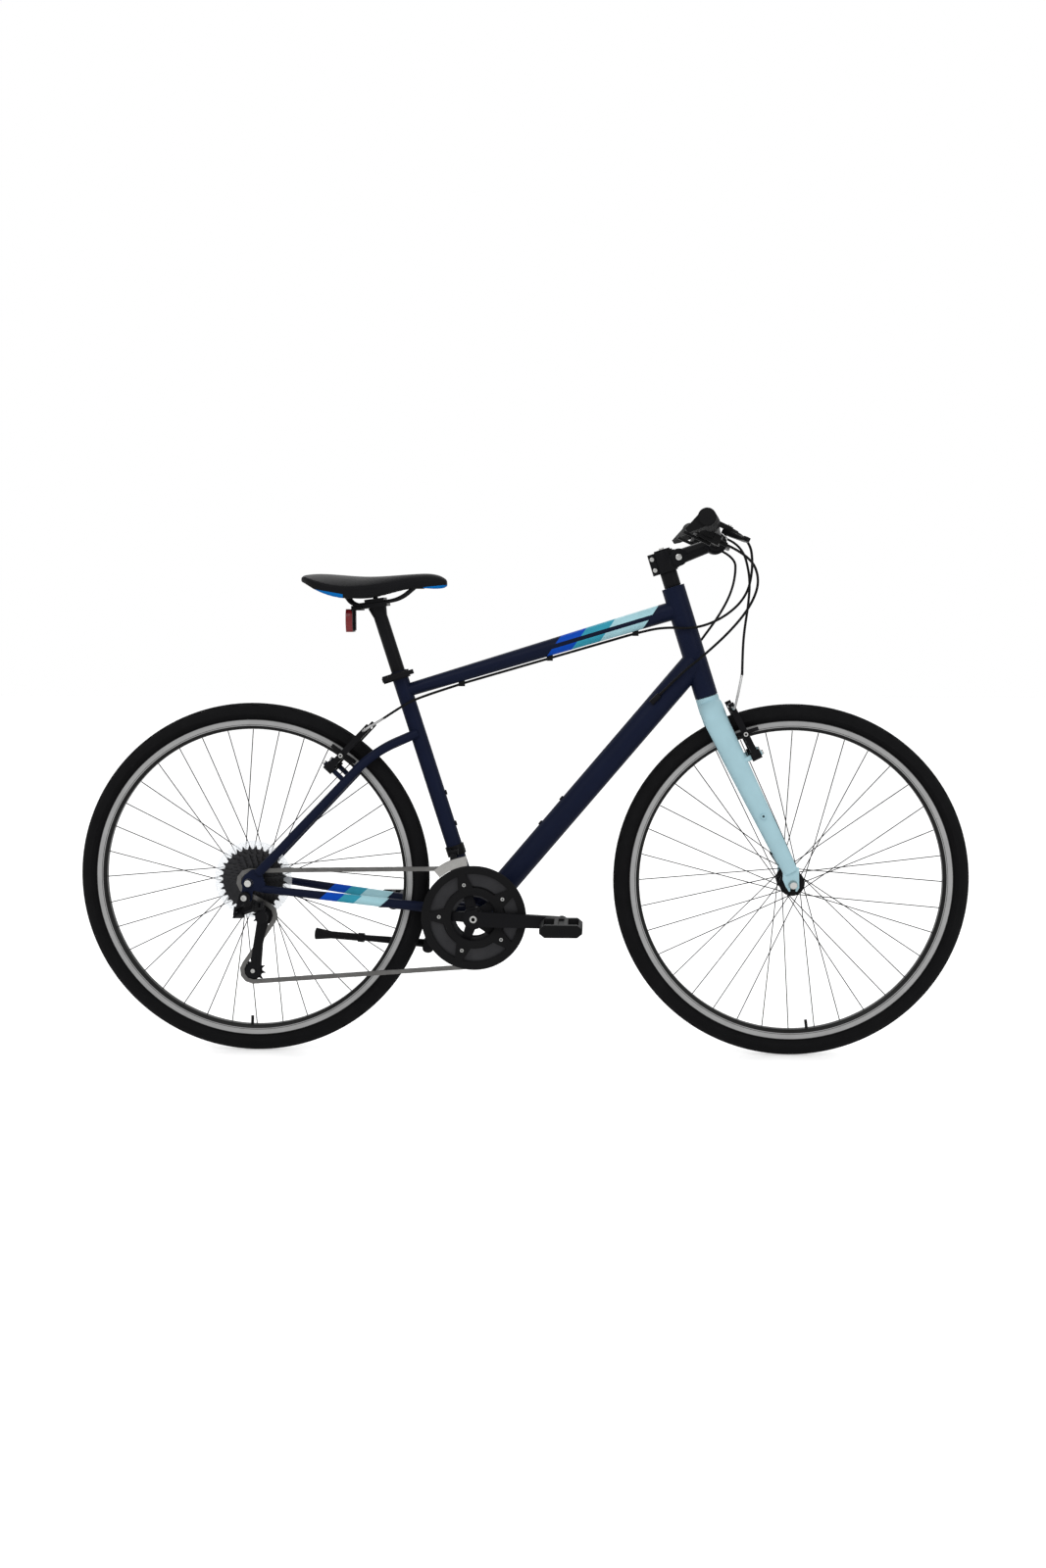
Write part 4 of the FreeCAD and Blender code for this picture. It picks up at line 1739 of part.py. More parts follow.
RIGHT_PEDAL_ANGLE = CRANK_REST_ANGLE
LEFT_PEDAL_ANGLE = CRANK_REST_ANGLE + 180.0


def frame_parts():
    return {
        "head_tube": head_tube(), "top_tube": top_tube(), "down_tube": down_tube(), "seat_tube": seat_tube(),
        "chainstays": chainstays(), "seatstays": seatstays(), "bearing_cups": bearing_cups(),
        "frame_fittings": frame_fittings(), "control_cables": control_cables(), "rear_axle": rear_axle(),
        "kickstand_leg": kickstand_leg(),
    }


def steering_parts():
    lever = brake_lever()
    trigger = shift_trigger()
    return {
        "fork": fork(), "stem": stem(), "handlebar": handlebar(), "grips": grips(), "controls": controls(),
        "front_axle": front_axle(), "front_brake_cable": front_brake_cable(),
        "brake_lever_left": lever, "brake_lever_right": mirrored(lever),
        "shift_trigger_left": trigger, "shift_trigger_right": mirrored(trigger),
    }


def wheel_parts():
    return {
        "front_tyre": tyre(FRONT_AXLE), "front_inner_tube": inner_tube(FRONT_AXLE, True),
        "front_rim": rim(FRONT_AXLE, True), "front_hub": front_hub(),
        "front_spokes": spokes(FRONT_AXLE, FRONT_FLANGE_OFFSET, FRONT_FLANGE_OFFSET),
        "rear_tyre": tyre(REAR_AXLE), "rear_inner_tube": inner_tube(REAR_AXLE, False),
        "rear_rim": rim(REAR_AXLE, False), "rear_hub": rear_hub(),
        "rear_spokes": spokes(REAR_AXLE, REAR_FLANGE_LEFT, REAR_FLANGE_RIGHT),
        "spoke_protector": spoke_protector(),
        "front_skewer_lever": cam_lever(FRONT_CAM, FRONT_LEVER_WAY, Y_AXIS),
        "rear_skewer_lever": cam_lever(REAR_CAM, REAR_LEVER_WAY, Y_AXIS),
    }


def drive_parts():
    return {
        "chain": chain(), "cassette": cassette(), "chainrings": chainrings(), "chain_guard": chain_guard(),
        "crank_right": crank_right(), "crank_left": crank_left(),
        "pedal_right": pedal(RIGHT_PEDAL_ANGLE, -1), "pedal_left": pedal(LEFT_PEDAL_ANGLE, 1),
        "rear_derailleur_mount": rear_derailleur_mount(), "rear_derailleur_link": rear_derailleur_link(),
        "rear_derailleur_knuckle": rear_derailleur_knuckle(), "rear_derailleur_cage": rear_derailleur_cage(),
        "guide_pulley": pulley(GUIDE, GUIDE_PHASE), "tension_pulley": pulley(TENSION, TENSION_PHASE),
        "front_derailleur_link": front_derailleur_link(), "front_derailleur_cage": front_derailleur_cage(),
    }


def brake_parts():
    front = brake_arm(FRONT_BRAKE)
    rear = brake_arm(REAR_BRAKE)
    return {
        "front_brake_arm_left": front, "front_brake_arm_right": mirrored(front),
        "rear_brake_arm_left": rear, "rear_brake_arm_right": mirrored(rear),
    }


def seat_parts():
    return {
        "seatpost": seatpost(), "saddle": saddle(), "saddle_rails": saddle_rails(),
        "rear_reflector": rear_reflector(), "seat_clamp_lever": seat_lever(),
    }


os.makedirs("parts", exist_ok=True)
for made in (frame_parts, steering_parts, wheel_parts, drive_parts, brake_parts, seat_parts):
    for name, shape in made().items():
        shape.exportStep("parts/%s.step" % name)
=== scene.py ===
import math
import bmesh
import bpy
from mathutils import Matrix, Vector


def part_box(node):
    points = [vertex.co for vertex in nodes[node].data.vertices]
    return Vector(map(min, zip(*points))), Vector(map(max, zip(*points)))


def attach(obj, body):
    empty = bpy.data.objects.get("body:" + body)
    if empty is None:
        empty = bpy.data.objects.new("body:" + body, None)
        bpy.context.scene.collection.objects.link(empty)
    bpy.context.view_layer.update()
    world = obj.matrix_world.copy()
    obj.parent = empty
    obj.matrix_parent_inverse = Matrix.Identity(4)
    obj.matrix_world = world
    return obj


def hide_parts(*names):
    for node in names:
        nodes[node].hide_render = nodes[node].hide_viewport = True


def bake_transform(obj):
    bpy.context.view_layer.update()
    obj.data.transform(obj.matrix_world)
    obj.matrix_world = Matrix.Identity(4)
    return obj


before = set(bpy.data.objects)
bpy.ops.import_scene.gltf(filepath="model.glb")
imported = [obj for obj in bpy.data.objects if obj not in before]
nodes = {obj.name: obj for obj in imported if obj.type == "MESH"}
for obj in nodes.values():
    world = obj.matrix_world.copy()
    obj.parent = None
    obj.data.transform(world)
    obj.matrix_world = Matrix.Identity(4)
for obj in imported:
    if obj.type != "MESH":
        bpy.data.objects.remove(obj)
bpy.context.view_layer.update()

# The frame's main tubes. Round aluminium tubes, welded at the joints and sprayed
# in matte dark navy with a fine metallic grain. Every painted or black piece of the
# bicycle shares this grain, so it is a node group that each finish places with its own scale.


def surface_grain():
    """Node group of the fine grain and the cloudy rubbing that all finishes share."""
    group = bpy.data.node_groups.new("surface_grain", "ShaderNodeTree")
    for socket in ("Vector", "Grain", "Cloud"):
        kind = "NodeSocketVector" if socket == "Vector" else "NodeSocketFloat"
        group.interface.new_socket(socket, in_out="INPUT", socket_type=kind)
    for socket in ("Tone", "Rub", "Height"):
        group.interface.new_socket(socket, in_out="OUTPUT", socket_type="NodeSocketFloat")
    entry = group.nodes.new("NodeGroupInput")
    leave = group.nodes.new("NodeGroupOutput")
    fine = group.nodes.new("ShaderNodeTexNoise")
    fine.inputs["Detail"].default_value = 4.0
    cloud = group.nodes.new("ShaderNodeTexNoise")
    cloud.inputs["Detail"].default_value = 6.0
    cloud.inputs["Roughness"].default_value = 0.65
    rub = group.nodes.new("ShaderNodeMapRange")
    rub.inputs["From Min"].default_value = 0.58
    rub.inputs["From Max"].default_value = 0.75
    tone = group.nodes.new("ShaderNodeMath")
    tone.operation = "MULTIPLY_ADD"
    tone.inputs[1].default_value = 0.35
    link = group.links.new
    for noise, scale in ((fine, "Grain"), (cloud, "Cloud")):
        link(entry.outputs["Vector"], noise.inputs["Vector"])
        link(entry.outputs[scale], noise.inputs["Scale"])
    link(cloud.outputs["Fac"], rub.inputs["Value"])
    link(fine.outputs["Fac"], tone.inputs[0])
    link(cloud.outputs["Fac"], tone.inputs[2])
    link(tone.outputs[0], leave.inputs["Tone"])
    link(rub.outputs["Result"], leave.inputs["Rub"])
    link(fine.outputs["Fac"], leave.inputs["Height"])
    return group


GRAIN = surface_grain()
SHINE = 0.05
COAT_ROUGHNESS = 0.25
RUBBED_SMOOTHER = 0.1
SMOOTHEST = 0.05


def opaque(colour):
    return (*colour, 1.0)


def finish(name, colour, rough, grain=900.0, relief=0.00002, cloud=18.0, metal=0.0, coat=0.0, vary=0.12):
    """Surface of one colour with a fine grain, rubbed patches and an uneven sheen."""
    made = bpy.data.materials.new(name)
    made.use_nodes = True
    tree = made.node_tree
    link = tree.links.new
    shader = tree.nodes["Principled BSDF"]
    shader.inputs["Metallic"].default_value = metal
    shader.inputs["Specular IOR Level"].default_value = SHINE
    shader.inputs["Coat Weight"].default_value = coat
    shader.inputs["Coat Roughness"].default_value = COAT_ROUGHNESS
    place = tree.nodes.new("ShaderNodeTexCoord")
    place.name = "place"
    grained = tree.nodes.new("ShaderNodeGroup")
    grained.node_tree = GRAIN
    grained.inputs["Grain"].default_value = grain
    grained.inputs["Cloud"].default_value = cloud
    link(place.outputs["Object"], grained.inputs["Vector"])
    lightness = tree.nodes.new("ShaderNodeMapRange")
    lightness.inputs["From Min"].default_value = 0.4
    lightness.inputs["From Max"].default_value = 0.95
    lightness.inputs["To Min"].default_value = 1.0 - vary
    lightness.inputs["To Max"].default_value = 1.0 + vary
    link(grained.outputs["Tone"], lightness.inputs["Value"])
    tint = tree.nodes.new("ShaderNodeHueSaturation")
    tint.name = "tint"
    tint.inputs["Color"].default_value = opaque(colour)
    link(lightness.outputs["Result"], tint.inputs["Value"])
    link(tint.outputs["Color"], shader.inputs["Base Color"])
    sheen = tree.nodes.new("ShaderNodeMapRange")
    sheen.inputs["To Min"].default_value = rough
    sheen.inputs["To Max"].default_value = max(SMOOTHEST, rough - RUBBED_SMOOTHER)
    link(grained.outputs["Rub"], sheen.inputs["Value"])
    link(sheen.outputs["Result"], shader.inputs["Roughness"])
    bump = tree.nodes.new("ShaderNodeBump")
    bump.name = "bump"
    bump.inputs["Distance"].default_value = relief
    link(grained.outputs["Height"], bump.inputs["Height"])
    link(bump.outputs["Normal"], shader.inputs["Normal"])
    return made


WELD_REACH = 0.000005
SOFTEN_ANGLE = math.radians(45)
CREASE_ANGLE = math.radians(32)


def weld(piece):
    """Joins the loose triangles of a piece."""
    piece.modifiers.new("weld", "WELD").merge_threshold = WELD_REACH


def crease(piece, angle=CREASE_ANGLE):
    """Parts the round shading of a piece at its sharp edges."""
    piece.modifiers.new("split", "EDGE_SPLIT").split_angle = angle


def dress(material, *names, edge=0.0):
    """Gives pieces of the frame their finish, round shading and, where asked, a softened edge."""
    for name in names:
        piece = nodes[name]
        piece.data.materials.clear()
        piece.data.materials.append(material)
        piece.data.shade_smooth()
        weld(piece)
        if edge:
            soften = piece.modifiers.new("soften", "BEVEL")
            soften.width = edge
            soften.segments = 2
            soften.limit_method = "ANGLE"
            soften.angle_limit = SOFTEN_ANGLE
        crease(piece)


NAVY = (0.0056, 0.0084, 0.0235)
navy_paint = finish("navy_paint", NAVY, 0.45, grain=1600, relief=0.000012)
dress(navy_paint, "head_tube", "down_tube", "seat_tube", "seatstays")


# The colour blocks. Masked and sprayed over the navy on the front of the top tube
# and on both chainstays: royal blue, teal and pale aqua with slanting edges.

ROYAL = (0.003, 0.06, 0.42)
TEAL = (0.035, 0.29, 0.40)
AQUA = (0.36, 0.60, 0.66)
BLOCK_LINE = 0.008
BLOCK_MARGIN = 0.05


def feed(tree, socket, value):
    """Links another node's output to a socket, or sets the socket's own value."""
    if isinstance(value, bpy.types.NodeSocket):
        tree.links.new(value, socket)
    else:
        socket.default_value = value


def worked(tree, operation, *values):
    """Result of one step of arithmetic on numbers and other nodes' outputs."""
    step = tree.nodes.new("ShaderNodeMath")
    step.operation = operation
    for socket, value in zip(step.inputs, values):
        feed(tree, socket, value)
    return step.outputs[0]


def mixed(tree, share, first, second):
    """First colour where the share is nought, second where it is one."""
    mix = tree.nodes.new("ShaderNodeMix")
    mix.data_type = "RGBA"
    feed(tree, mix.inputs["Factor"], share)
    feed(tree, mix.inputs[6], first)
    feed(tree, mix.inputs[7], second)
    return mix.outputs[2]


def reach_along(tree, way):
    """How far each point of a piece lies along a way."""
    along = tree.nodes.new("ShaderNodeVectorMath")
    along.operation = "DOT_PRODUCT"
    along.inputs[1].default_value = way
    tree.links.new(tree.nodes["place"].outputs["Object"], along.inputs[0])
    return along.outputs["Value"]


def stepped(tree, reach, low, high, stops):
    """Colours in steps between a low and a high reach: each stop is where a colour starts."""
    share = tree.nodes.new("ShaderNodeMapRange")
    share.inputs["From Min"].default_value = low
    share.inputs["From Max"].default_value = high
    tree.links.new(reach, share.inputs["Value"])
    steps = tree.nodes.new("ShaderNodeValToRGB")
    tree.links.new(share.outputs["Result"], steps.inputs["Fac"])
    ramp = steps.color_ramp
    ramp.interpolation = "CONSTANT"
    ramp.elements[0].color = opaque(stops[0][1])
    last_start, last_colour = stops[-1]
    ramp.elements[1].position = (last_start - low) / (high - low)
    ramp.elements[1].color = opaque(last_colour)
    for start, colour in stops[1:-1]:
        ramp.elements.new((start - low) / (high - low)).color = opaque(colour)
    return steps.outputs["Color"]


def banded(name, along, edges, line_across=None, line_middle=0.0):
    """Navy paint with slanting blocks of colour and, where asked, a navy line along their middle."""
    made = finish(name, NAVY, 0.42, grain=1600, relief=0.000012)
    tree = made.node_tree
    low = edges[0] - BLOCK_MARGIN
    high = edges[-1] + BLOCK_MARGIN
    stops = [(low, NAVY)] + list(zip(edges, (ROYAL, TEAL, AQUA, NAVY)))
    colour = stepped(tree, reach_along(tree, along), low, high, stops)
    if line_across is not None:
        on_line = worked(tree, "COMPARE", reach_along(tree, line_across), line_middle, BLOCK_LINE / 2)
        colour = mixed(tree, on_line, colour, opaque(NAVY))
    tree.links.new(colour, tree.nodes["tint"].inputs["Color"])
    return made


def slanted(rear, rise, lean, starts):
    """Way square to slanting edges on a tube from a rear point, and where on it each edge lies."""
    shift = lean * (rise * rear.x - rear.z)
    return (1.0 + lean * rise, 0.0, -lean), [start + shift for start in starts]


TUBE_REAR = Vector((-0.2299, 0.0, 0.7214))
TUBE_RISE = 0.301
TUBE_LEAN = 0.85
tube_along, tube_edges = slanted(TUBE_REAR, TUBE_RISE, TUBE_LEAN, (0.063, 0.113, 0.168, 0.252))
tube_across = Vector((-TUBE_RISE, 0.0, 1.0)).normalized()
top_tube_paint = banded("top_tube_paint", tube_along, tube_edges, tube_across, tube_across.dot(TUBE_REAR))
dress(top_tube_paint, "top_tube")

STAY_REAR = Vector((-0.505, 0.0, 0.3367))
STAY_RISE = -0.127
STAY_LEAN = 1.0
stay_along, stay_edges = slanted(STAY_REAR, STAY_RISE, STAY_LEAN, (-0.388, -0.354, -0.321, -0.269))
dress(banded("chainstay_paint", stay_along, stay_edges), "chainstays")


# The fork. Oval aluminium blades welded to a crown, with forged ends for the axle, sprayed
# in satin pale aqua. Its steerer turns in the bearings of the head tube.

FORK_AQUA = (0.37, 0.56, 0.62)
fork_paint = finish("fork_paint", FORK_AQUA, 0.4, grain=1600, relief=0.000012, vary=0.06)
dress(fork_paint, "fork")


# Bearings, axles and the black fittings on the frame. Turned steel cups, anodised
# aluminium clips and collar, and the cable entry ferrules.

BLACK = (0.0065, 0.0065, 0.0075)
black_metal = finish("black_metal", BLACK, 0.38, grain=2200, relief=0.00001)
bright_steel = finish("bright_steel", (0.45, 0.45, 0.44), 0.34, grain=700, relief=0.000012, metal=1.0)
dress(black_metal, "bearing_cups", "frame_fittings", "seat_clamp_lever", edge=0.0003)
dress(black_metal, "front_skewer_lever", "rear_skewer_lever", edge=0.0004)
dress(bright_steel, "front_axle", "rear_axle")


# Stem, bar and levers. Forged aluminium, bead-blasted and anodised to a soft black, with
# shifter bodies of moulded plastic. Screws clamp the stem on the steerer and the bar in the stem.

dress(black_metal, "stem", "handlebar", "brake_lever_left", "brake_lever_right", edge=0.0005)
black_plastic = finish("black_plastic", (0.007, 0.007, 0.0075), 0.48, grain=1300, relief=0.00004)
dress(black_plastic, "controls", "shift_trigger_left", "shift_trigger_right", edge=0.0008)


# Grips. Moulded rubber with a palm wing and fine cross ribs, pushed over the ends
# of the bar.

RIB_SCALE = 80.0
RIB_DEPTH = 0.0006


def carve(material, pattern, height, depth):
    """Relief from a pattern's height, in place of the finish's own grain."""
    tree = material.node_tree
    bump = tree.nodes["bump"]
    tree.links.new(tree.nodes["place"].outputs["Object"], pattern.inputs["Vector"])
    tree.links.new(pattern.outputs[height], bump.inputs["Height"])
    bump.inputs["Distance"].default_value = depth


grip_rubber = finish("grip_rubber", (0.008, 0.008, 0.0085), 0.66, grain=500)
ribs = grip_rubber.node_tree.nodes.new("ShaderNodeTexWave")
ribs.bands_direction = "Y"
ribs.inputs["Scale"].default_value = RIB_SCALE
ribs.inputs["Distortion"].default_value = 0.0
carve(grip_rubber, ribs, "Fac", RIB_DEPTH)
dress(grip_rubber, "grips", edge=0.0015)


# Control cables. Steel cable in a black sheath, from the levers and shifters to the
# frame: two gear cables, the rear brake cable and the front brake cable.

CABLE_DIAMETER = 0.005
cable_sheath = finish("cable_sheath", (0.006, 0.006, 0.0065), 0.4, grain=1500)


def smooth_line(name, points):
    """Smooth curve with these control points."""
    line = bpy.data.curves.new(name, "CURVE")
    line.dimensions = "3D"
    spline = line.splines.new("NURBS")
    spline.points.add(len(points) - 1)
    for spot, at in zip(spline.points, points):
        spot.co = (*at, 1.0)
    spline.order_u = 3
    spline.use_endpoint_u = True
    spline.resolution_u = 10
    return bpy.data.objects.new(name, line)


def centre_points(line):
    """Points along a curve that has no thickness yet."""
    wire = bpy.data.meshes.new_from_object(line)
    return [v.co.copy() for v in wire.vertices]


def tube_of(name, points, diameter, material):
    """Round tube along a smooth curve, with its centre line."""
    line = smooth_line(name + "_line", points)
    path = centre_points(line)
    line.data.bevel_depth = diameter / 2
    line.data.bevel_resolution = 3
    line.data.use_fill_caps = True
    tube = bpy.data.objects.new(name, bpy.data.meshes.new_from_object(line))
    bpy.context.scene.collection.objects.link(tube)
    tube.data.materials.clear()
    tube.data.materials.append(material)
    tube.data.shade_smooth()
    bpy.data.objects.remove(line)
    return tube, path


cable_routes = {
    "left_gear_cable": [
        (0.3909, 0.1319, 1.0021), (0.4254, 0.1312, 0.9861), (0.4248, 0.1040, 0.9512),
        (0.4128, 0.0700, 0.9112), (0.3888, 0.0460, 0.8692), (0.3548, 0.0360, 0.8232),
        (0.3248, 0.0310, 0.7832), (0.2968, 0.0270, 0.7432), (0.2604, 0.0247, 0.7063)],
    "right_gear_cable": [
        (0.3909, -0.1319, 1.0021), (0.4344, -0.1309, 0.9818), (0.4568, -0.0900, 0.9392),
        (0.4448, -0.0660, 0.8932), (0.4088, -0.0500, 0.8442), (0.3528, -0.0380, 0.7912),
        (0.3168, -0.0320, 0.7632), (0.2604, -0.0247, 0.7063)],
    "rear_brake_cable": [
        (0.4077, -0.1491, 1.0238), (0.4346, -0.1221, 1.0117), (0.4438, -0.0880, 0.9612),
        (0.4348, -0.0620, 0.9072), (0.3948, -0.0450, 0.8672), (0.3388, -0.0350, 0.8442),
        (0.2776, -0.0180, 0.8480), (0.2236, 0.0000, 0.8353), (0.1800, 0.0000, 0.8226),
        (-0.0800, 0.0000, 0.7472), (-0.1169, 0.0000, 0.7365), (-0.2074, -0.0240, 0.7071),
        (-0.2374, -0.0280, 0.6901), (-0.2606, -0.0820, 0.6739)],
    "front_brake_cable_run": [
        (0.4077, 0.1491, 1.0238), (0.4373, 0.1194, 1.0105), (0.4508, 0.0660, 0.9492),
        (0.4458, 0.0340, 0.8942), (0.4348, 0.0000, 0.8392), (0.4288, -0.0460, 0.7972),
        (0.4251, -0.0900, 0.7581)]}
for name, route in cable_routes.items():
    run, path = tube_of(name, route, CABLE_DIAMETER, cable_sheath)
    if name == "front_brake_cable_run":
        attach(run, "steering")
    else:
        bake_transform(run)
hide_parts("control_cables")
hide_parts("front_brake_cable")


# Brake noodles. A short bent steel guide pipe carries each brake cable through the right arm,
# and the bare inner cable goes on to the left arm under a ribbed rubber boot.

NOODLE_DIAMETER = 0.0048
INNER_DIAMETER = 0.0018
INNER_REACHES = (0.0, 0.03, 0.086)
BOOT_LENGTH = 0.042
BOOT_RIBS = 7
BOOT_SIDES = 20
BOOT_BORE = 0.0012
BOOT_VALLEY = 0.0030
BOOT_CREST = 0.0042
MERGE_REACH = 0.00001
noodle_steel = finish("noodle_steel", (0.32, 0.32, 0.32), 0.35, relief=0.000008, metal=1.0)


def turned(centre, profile, steps):
    """Ring turned about an axle from a closed profile of (radius, across) points."""
    bm = bmesh.new()
    ring = [bm.verts.new((centre.x, centre.y + across, centre.z + radius)) for radius, across in profile]
    sides = [bm.edges.new((a, b)) for a, b in zip(ring, ring[1:] + ring[:1])]
    bmesh.ops.spin(bm, geom=ring + sides, cent=centre, axis=(0, 1, 0), angle=2 * math.pi, steps=steps,
                   use_merge=True)
    bmesh.ops.remove_doubles(bm, verts=bm.verts, dist=MERGE_REACH)
    bmesh.ops.recalc_face_normals(bm, faces=bm.faces)
    return bm


def make_piece(name, bm, material, body):
    """Finished piece from a mesh under construction, riding on its body."""
    mesh = bpy.data.meshes.new(name)
    bm.to_mesh(mesh)
    bm.free()
    mesh.materials.append(material)
    mesh.shade_smooth()
    piece = bpy.data.objects.new(name, mesh)
    bpy.context.scene.collection.objects.link(piece)
    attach(piece, body)
    return piece


def steel_run(name, route, diameter, body):
    """Bare steel pipe or cable along a route."""
    run = tube_of(name, route, diameter, noodle_steel)[0]
    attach(run, body)


def boot(name, start, body):
    """Ribbed sleeve over the inner cable."""
    bends = BOOT_RIBS * 2
    profile = [(BOOT_BORE, 0.0)]
    for k in range(bends + 1):
        profile.append((BOOT_VALLEY if k % 2 else BOOT_CREST, BOOT_LENGTH * k / bends))
    profile.append((BOOT_BORE, BOOT_LENGTH))
    make_piece(name, turned(start, profile, BOOT_SIDES), grip_rubber, body)


noodle_routes = {
    "rear": [(-0.2490, -0.0550, 0.6820), (-0.2606, -0.0820, 0.6739), (-0.3026, -0.1000, 0.6479),
             (-0.3026, -0.0640, 0.6479), (-0.3026, -0.0300, 0.6479)],
    "front": [(0.4256, -0.0830, 0.7643), (0.4251, -0.0900, 0.7581), (0.4111, -0.1000, 0.6921),
              (0.4111, -0.0640, 0.6921), (0.4111, -0.0300, 0.6921)]}
for end, route in noodle_routes.items():
    body = "frame" if end == "rear" else "steering"
    mouth = Vector(route[-1])
    inner_route = [mouth + Vector((0.0, reach, 0.0)) for reach in INNER_REACHES]
    steel_run(end + "_noodle", route, NOODLE_DIAMETER, body)
    steel_run(end + "_inner_cable", inner_route, INNER_DIAMETER, body)
    boot(end + "_boot", mouth, body)


# Tyres. Moulded black rubber, 38 mm wide, with a rounded tread of small blocks
# parted by shallow grooves and a smooth sidewall down to the bead.

TYRE_RADIUS = 0.349
TYRE_HALF = 0.019
RIM_EDGE = 0.317
TYRE_STEPS = 168
TREAD_SHARE = 0.74
TREAD_ROW = 0.0026
GROOVE_EVERY = 3
GROOVE_INSET = 0.0006
GROOVE_DEPTH = 0.0013
TREAD_CREASE = math.radians(40)
tyre_rubber = finish("tyre_rubber", (0.0055, 0.0055, 0.006), 0.72, grain=420, relief=0.00015, cloud=30,
                     vary=0.2)


def flipped(points):
    """The other half of a profile, read backwards."""
    return [(radius, -across) for radius, across in reversed(points)]


def tyre(name, node, body):
    """Grooved tyre in place of the frame's plain one, and the middle of its axle."""
    low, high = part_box(node)
    centre = (low + high) / 2
    waist = TYRE_RADIUS - TYRE_HALF
    outer = [(RIM_EDGE - 0.005, 0.0093), (RIM_EDGE + 0.0012, 0.0098), (RIM_EDGE + 0.0030, 0.0130)]
    for degrees in (-8, 12, 30, 46, 58, 66, 74, 82):
        turn = math.radians(degrees)
        outer.append((waist + TYRE_HALF * math.sin(turn), TYRE_HALF * math.cos(turn)))
    bm = turned(centre, outer + [(TYRE_RADIUS, 0.0)] + flipped(outer), TYRE_STEPS)
    grooves = []
    for face in bm.faces:
        at = face.calc_center_median() - centre
        radius = math.hypot(at.x, at.z)
        if radius < waist + TYRE_HALF * TREAD_SHARE or radius > TYRE_RADIUS:
            continue
        step = int(math.degrees(math.atan2(at.z, at.x)) * TYRE_STEPS / 360.0 + TYRE_STEPS)
        row = int(abs(at.y) / TREAD_ROW)
        if (step + row) % GROOVE_EVERY == 0:
            grooves.append(face)
    bmesh.ops.inset_individual(bm, faces=grooves, thickness=GROOVE_INSET, depth=0.0)
    for face in grooves:
        bmesh.ops.translate(bm, verts=face.verts, vec=face.normal * -GROOVE_DEPTH)
    piece = make_piece(name, bm, tyre_rubber, body)
    crease(piece, TREAD_CREASE)
    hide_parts(node)
    return centre


# Rims. Extruded and rolled aluminium boxes, anodised black, with the braking walls
# machined bright on either side of a thin black line.

RIM_HALF = 0.012
RIM_INNER = 0.297
RIM_STEPS = 180
BEAD_HALF = 0.0096
BEAD_SEAT = 0.311
WELL_FLOOR = 0.3085
RIM_BLACK = (0.016, 0.016, 0.016)
WALL_STOPS = [(RIM_INNER, RIM_BLACK), (0.3040, (0.30, 0.30, 0.30)), (0.3056, (0.02, 0.02, 0.02)),
              (0.3066, (0.32, 0.32, 0.32)), (0.3155, (0.03, 0.03, 0.03))]


def machined_walls(material, axle):
    """Bright braking walls and the black line, by their distance from the axle."""
    tree = material.node_tree
    reach = tree.nodes["place"].outputs["Object"]
    for operation, value in (("SUBTRACT", axle), ("MULTIPLY", (1.0, 0.0, 1.0))):
        step = tree.nodes.new("ShaderNodeVectorMath")
        step.operation = operation
        step.inputs[1].default_value = value
        tree.links.new(reach, step.inputs[0])
        reach = step.outputs["Vector"]
    length = tree.nodes.new("ShaderNodeVectorMath")
    length.operation = "LENGTH"
    tree.links.new(reach, length.inputs[0])
    walls = stepped(tree, length.outputs["Value"], RIM_INNER, RIM_EDGE, WALL_STOPS)
    tree.links.new(walls, tree.nodes["tint"].inputs["Color"])


def rim(name, node, body, axle):
    """Rim with its tyre well, in place of the frame's plain one."""
    paint = finish(name + "_finish", BLACK, 0.36, grain=800, relief=0.00001, metal=0.35)
    machined_walls(paint, axle)
    well = [(RIM_EDGE, RIM_HALF), (RIM_EDGE, BEAD_HALF), (BEAD_SEAT, BEAD_HALF)]
    back = [(0.2975, 0.0068), (0.3000, 0.0100), (0.3035, 0.0117), (0.3045, RIM_HALF)]
    profile = well + [(WELL_FLOOR, 0.0)] + flipped(well) + flipped(back) + [(RIM_INNER, 0.0)] + back
    piece = make_piece(name, turned(axle, profile, RIM_STEPS), paint, body)
    crease(piece)
    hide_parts(node)


for end in ("front", "rear"):
    axle = tyre(end + "_tyre_tread", end + "_tyre", end + "_wheel")
    rim(end + "_rim_wall", end + "_rim", end + "_wheel", axle)


# Spokes, hubs and inner tubes. Black stainless spokes in turned black hubs, a rubber
# valve through each rim, and a clear disc that keeps the chain out of the spokes.

spoke_steel = finish("spoke_steel", (0.008, 0.008, 0.009), 0.4, relief=0.000005)
valve_rubber = finish("valve_rubber", (0.014, 0.014, 0.015), 0.6)
dress(spoke_steel, "front_spokes", "rear_spokes")
dress(black_metal, "front_hub", "rear_hub")
dress(valve_rubber, "front_inner_tube", "rear_inner_tube")
clear_plastic = finish("clear_plastic", (0.93, 0.95, 0.97), 0.12, grain=60, vary=0.02)
clear_shader = clear_plastic.node_tree.nodes["Principled BSDF"]
clear_shader.inputs["Transmission Weight"].default_value = 0.7
clear_shader.inputs["IOR"].default_value = 1.25
dress(clear_plastic, "spoke_protector")


# Drive. Stamped steel rings and cogs, a riveted roller chain, a moulded guard with
# open windows, and forged black cranks.

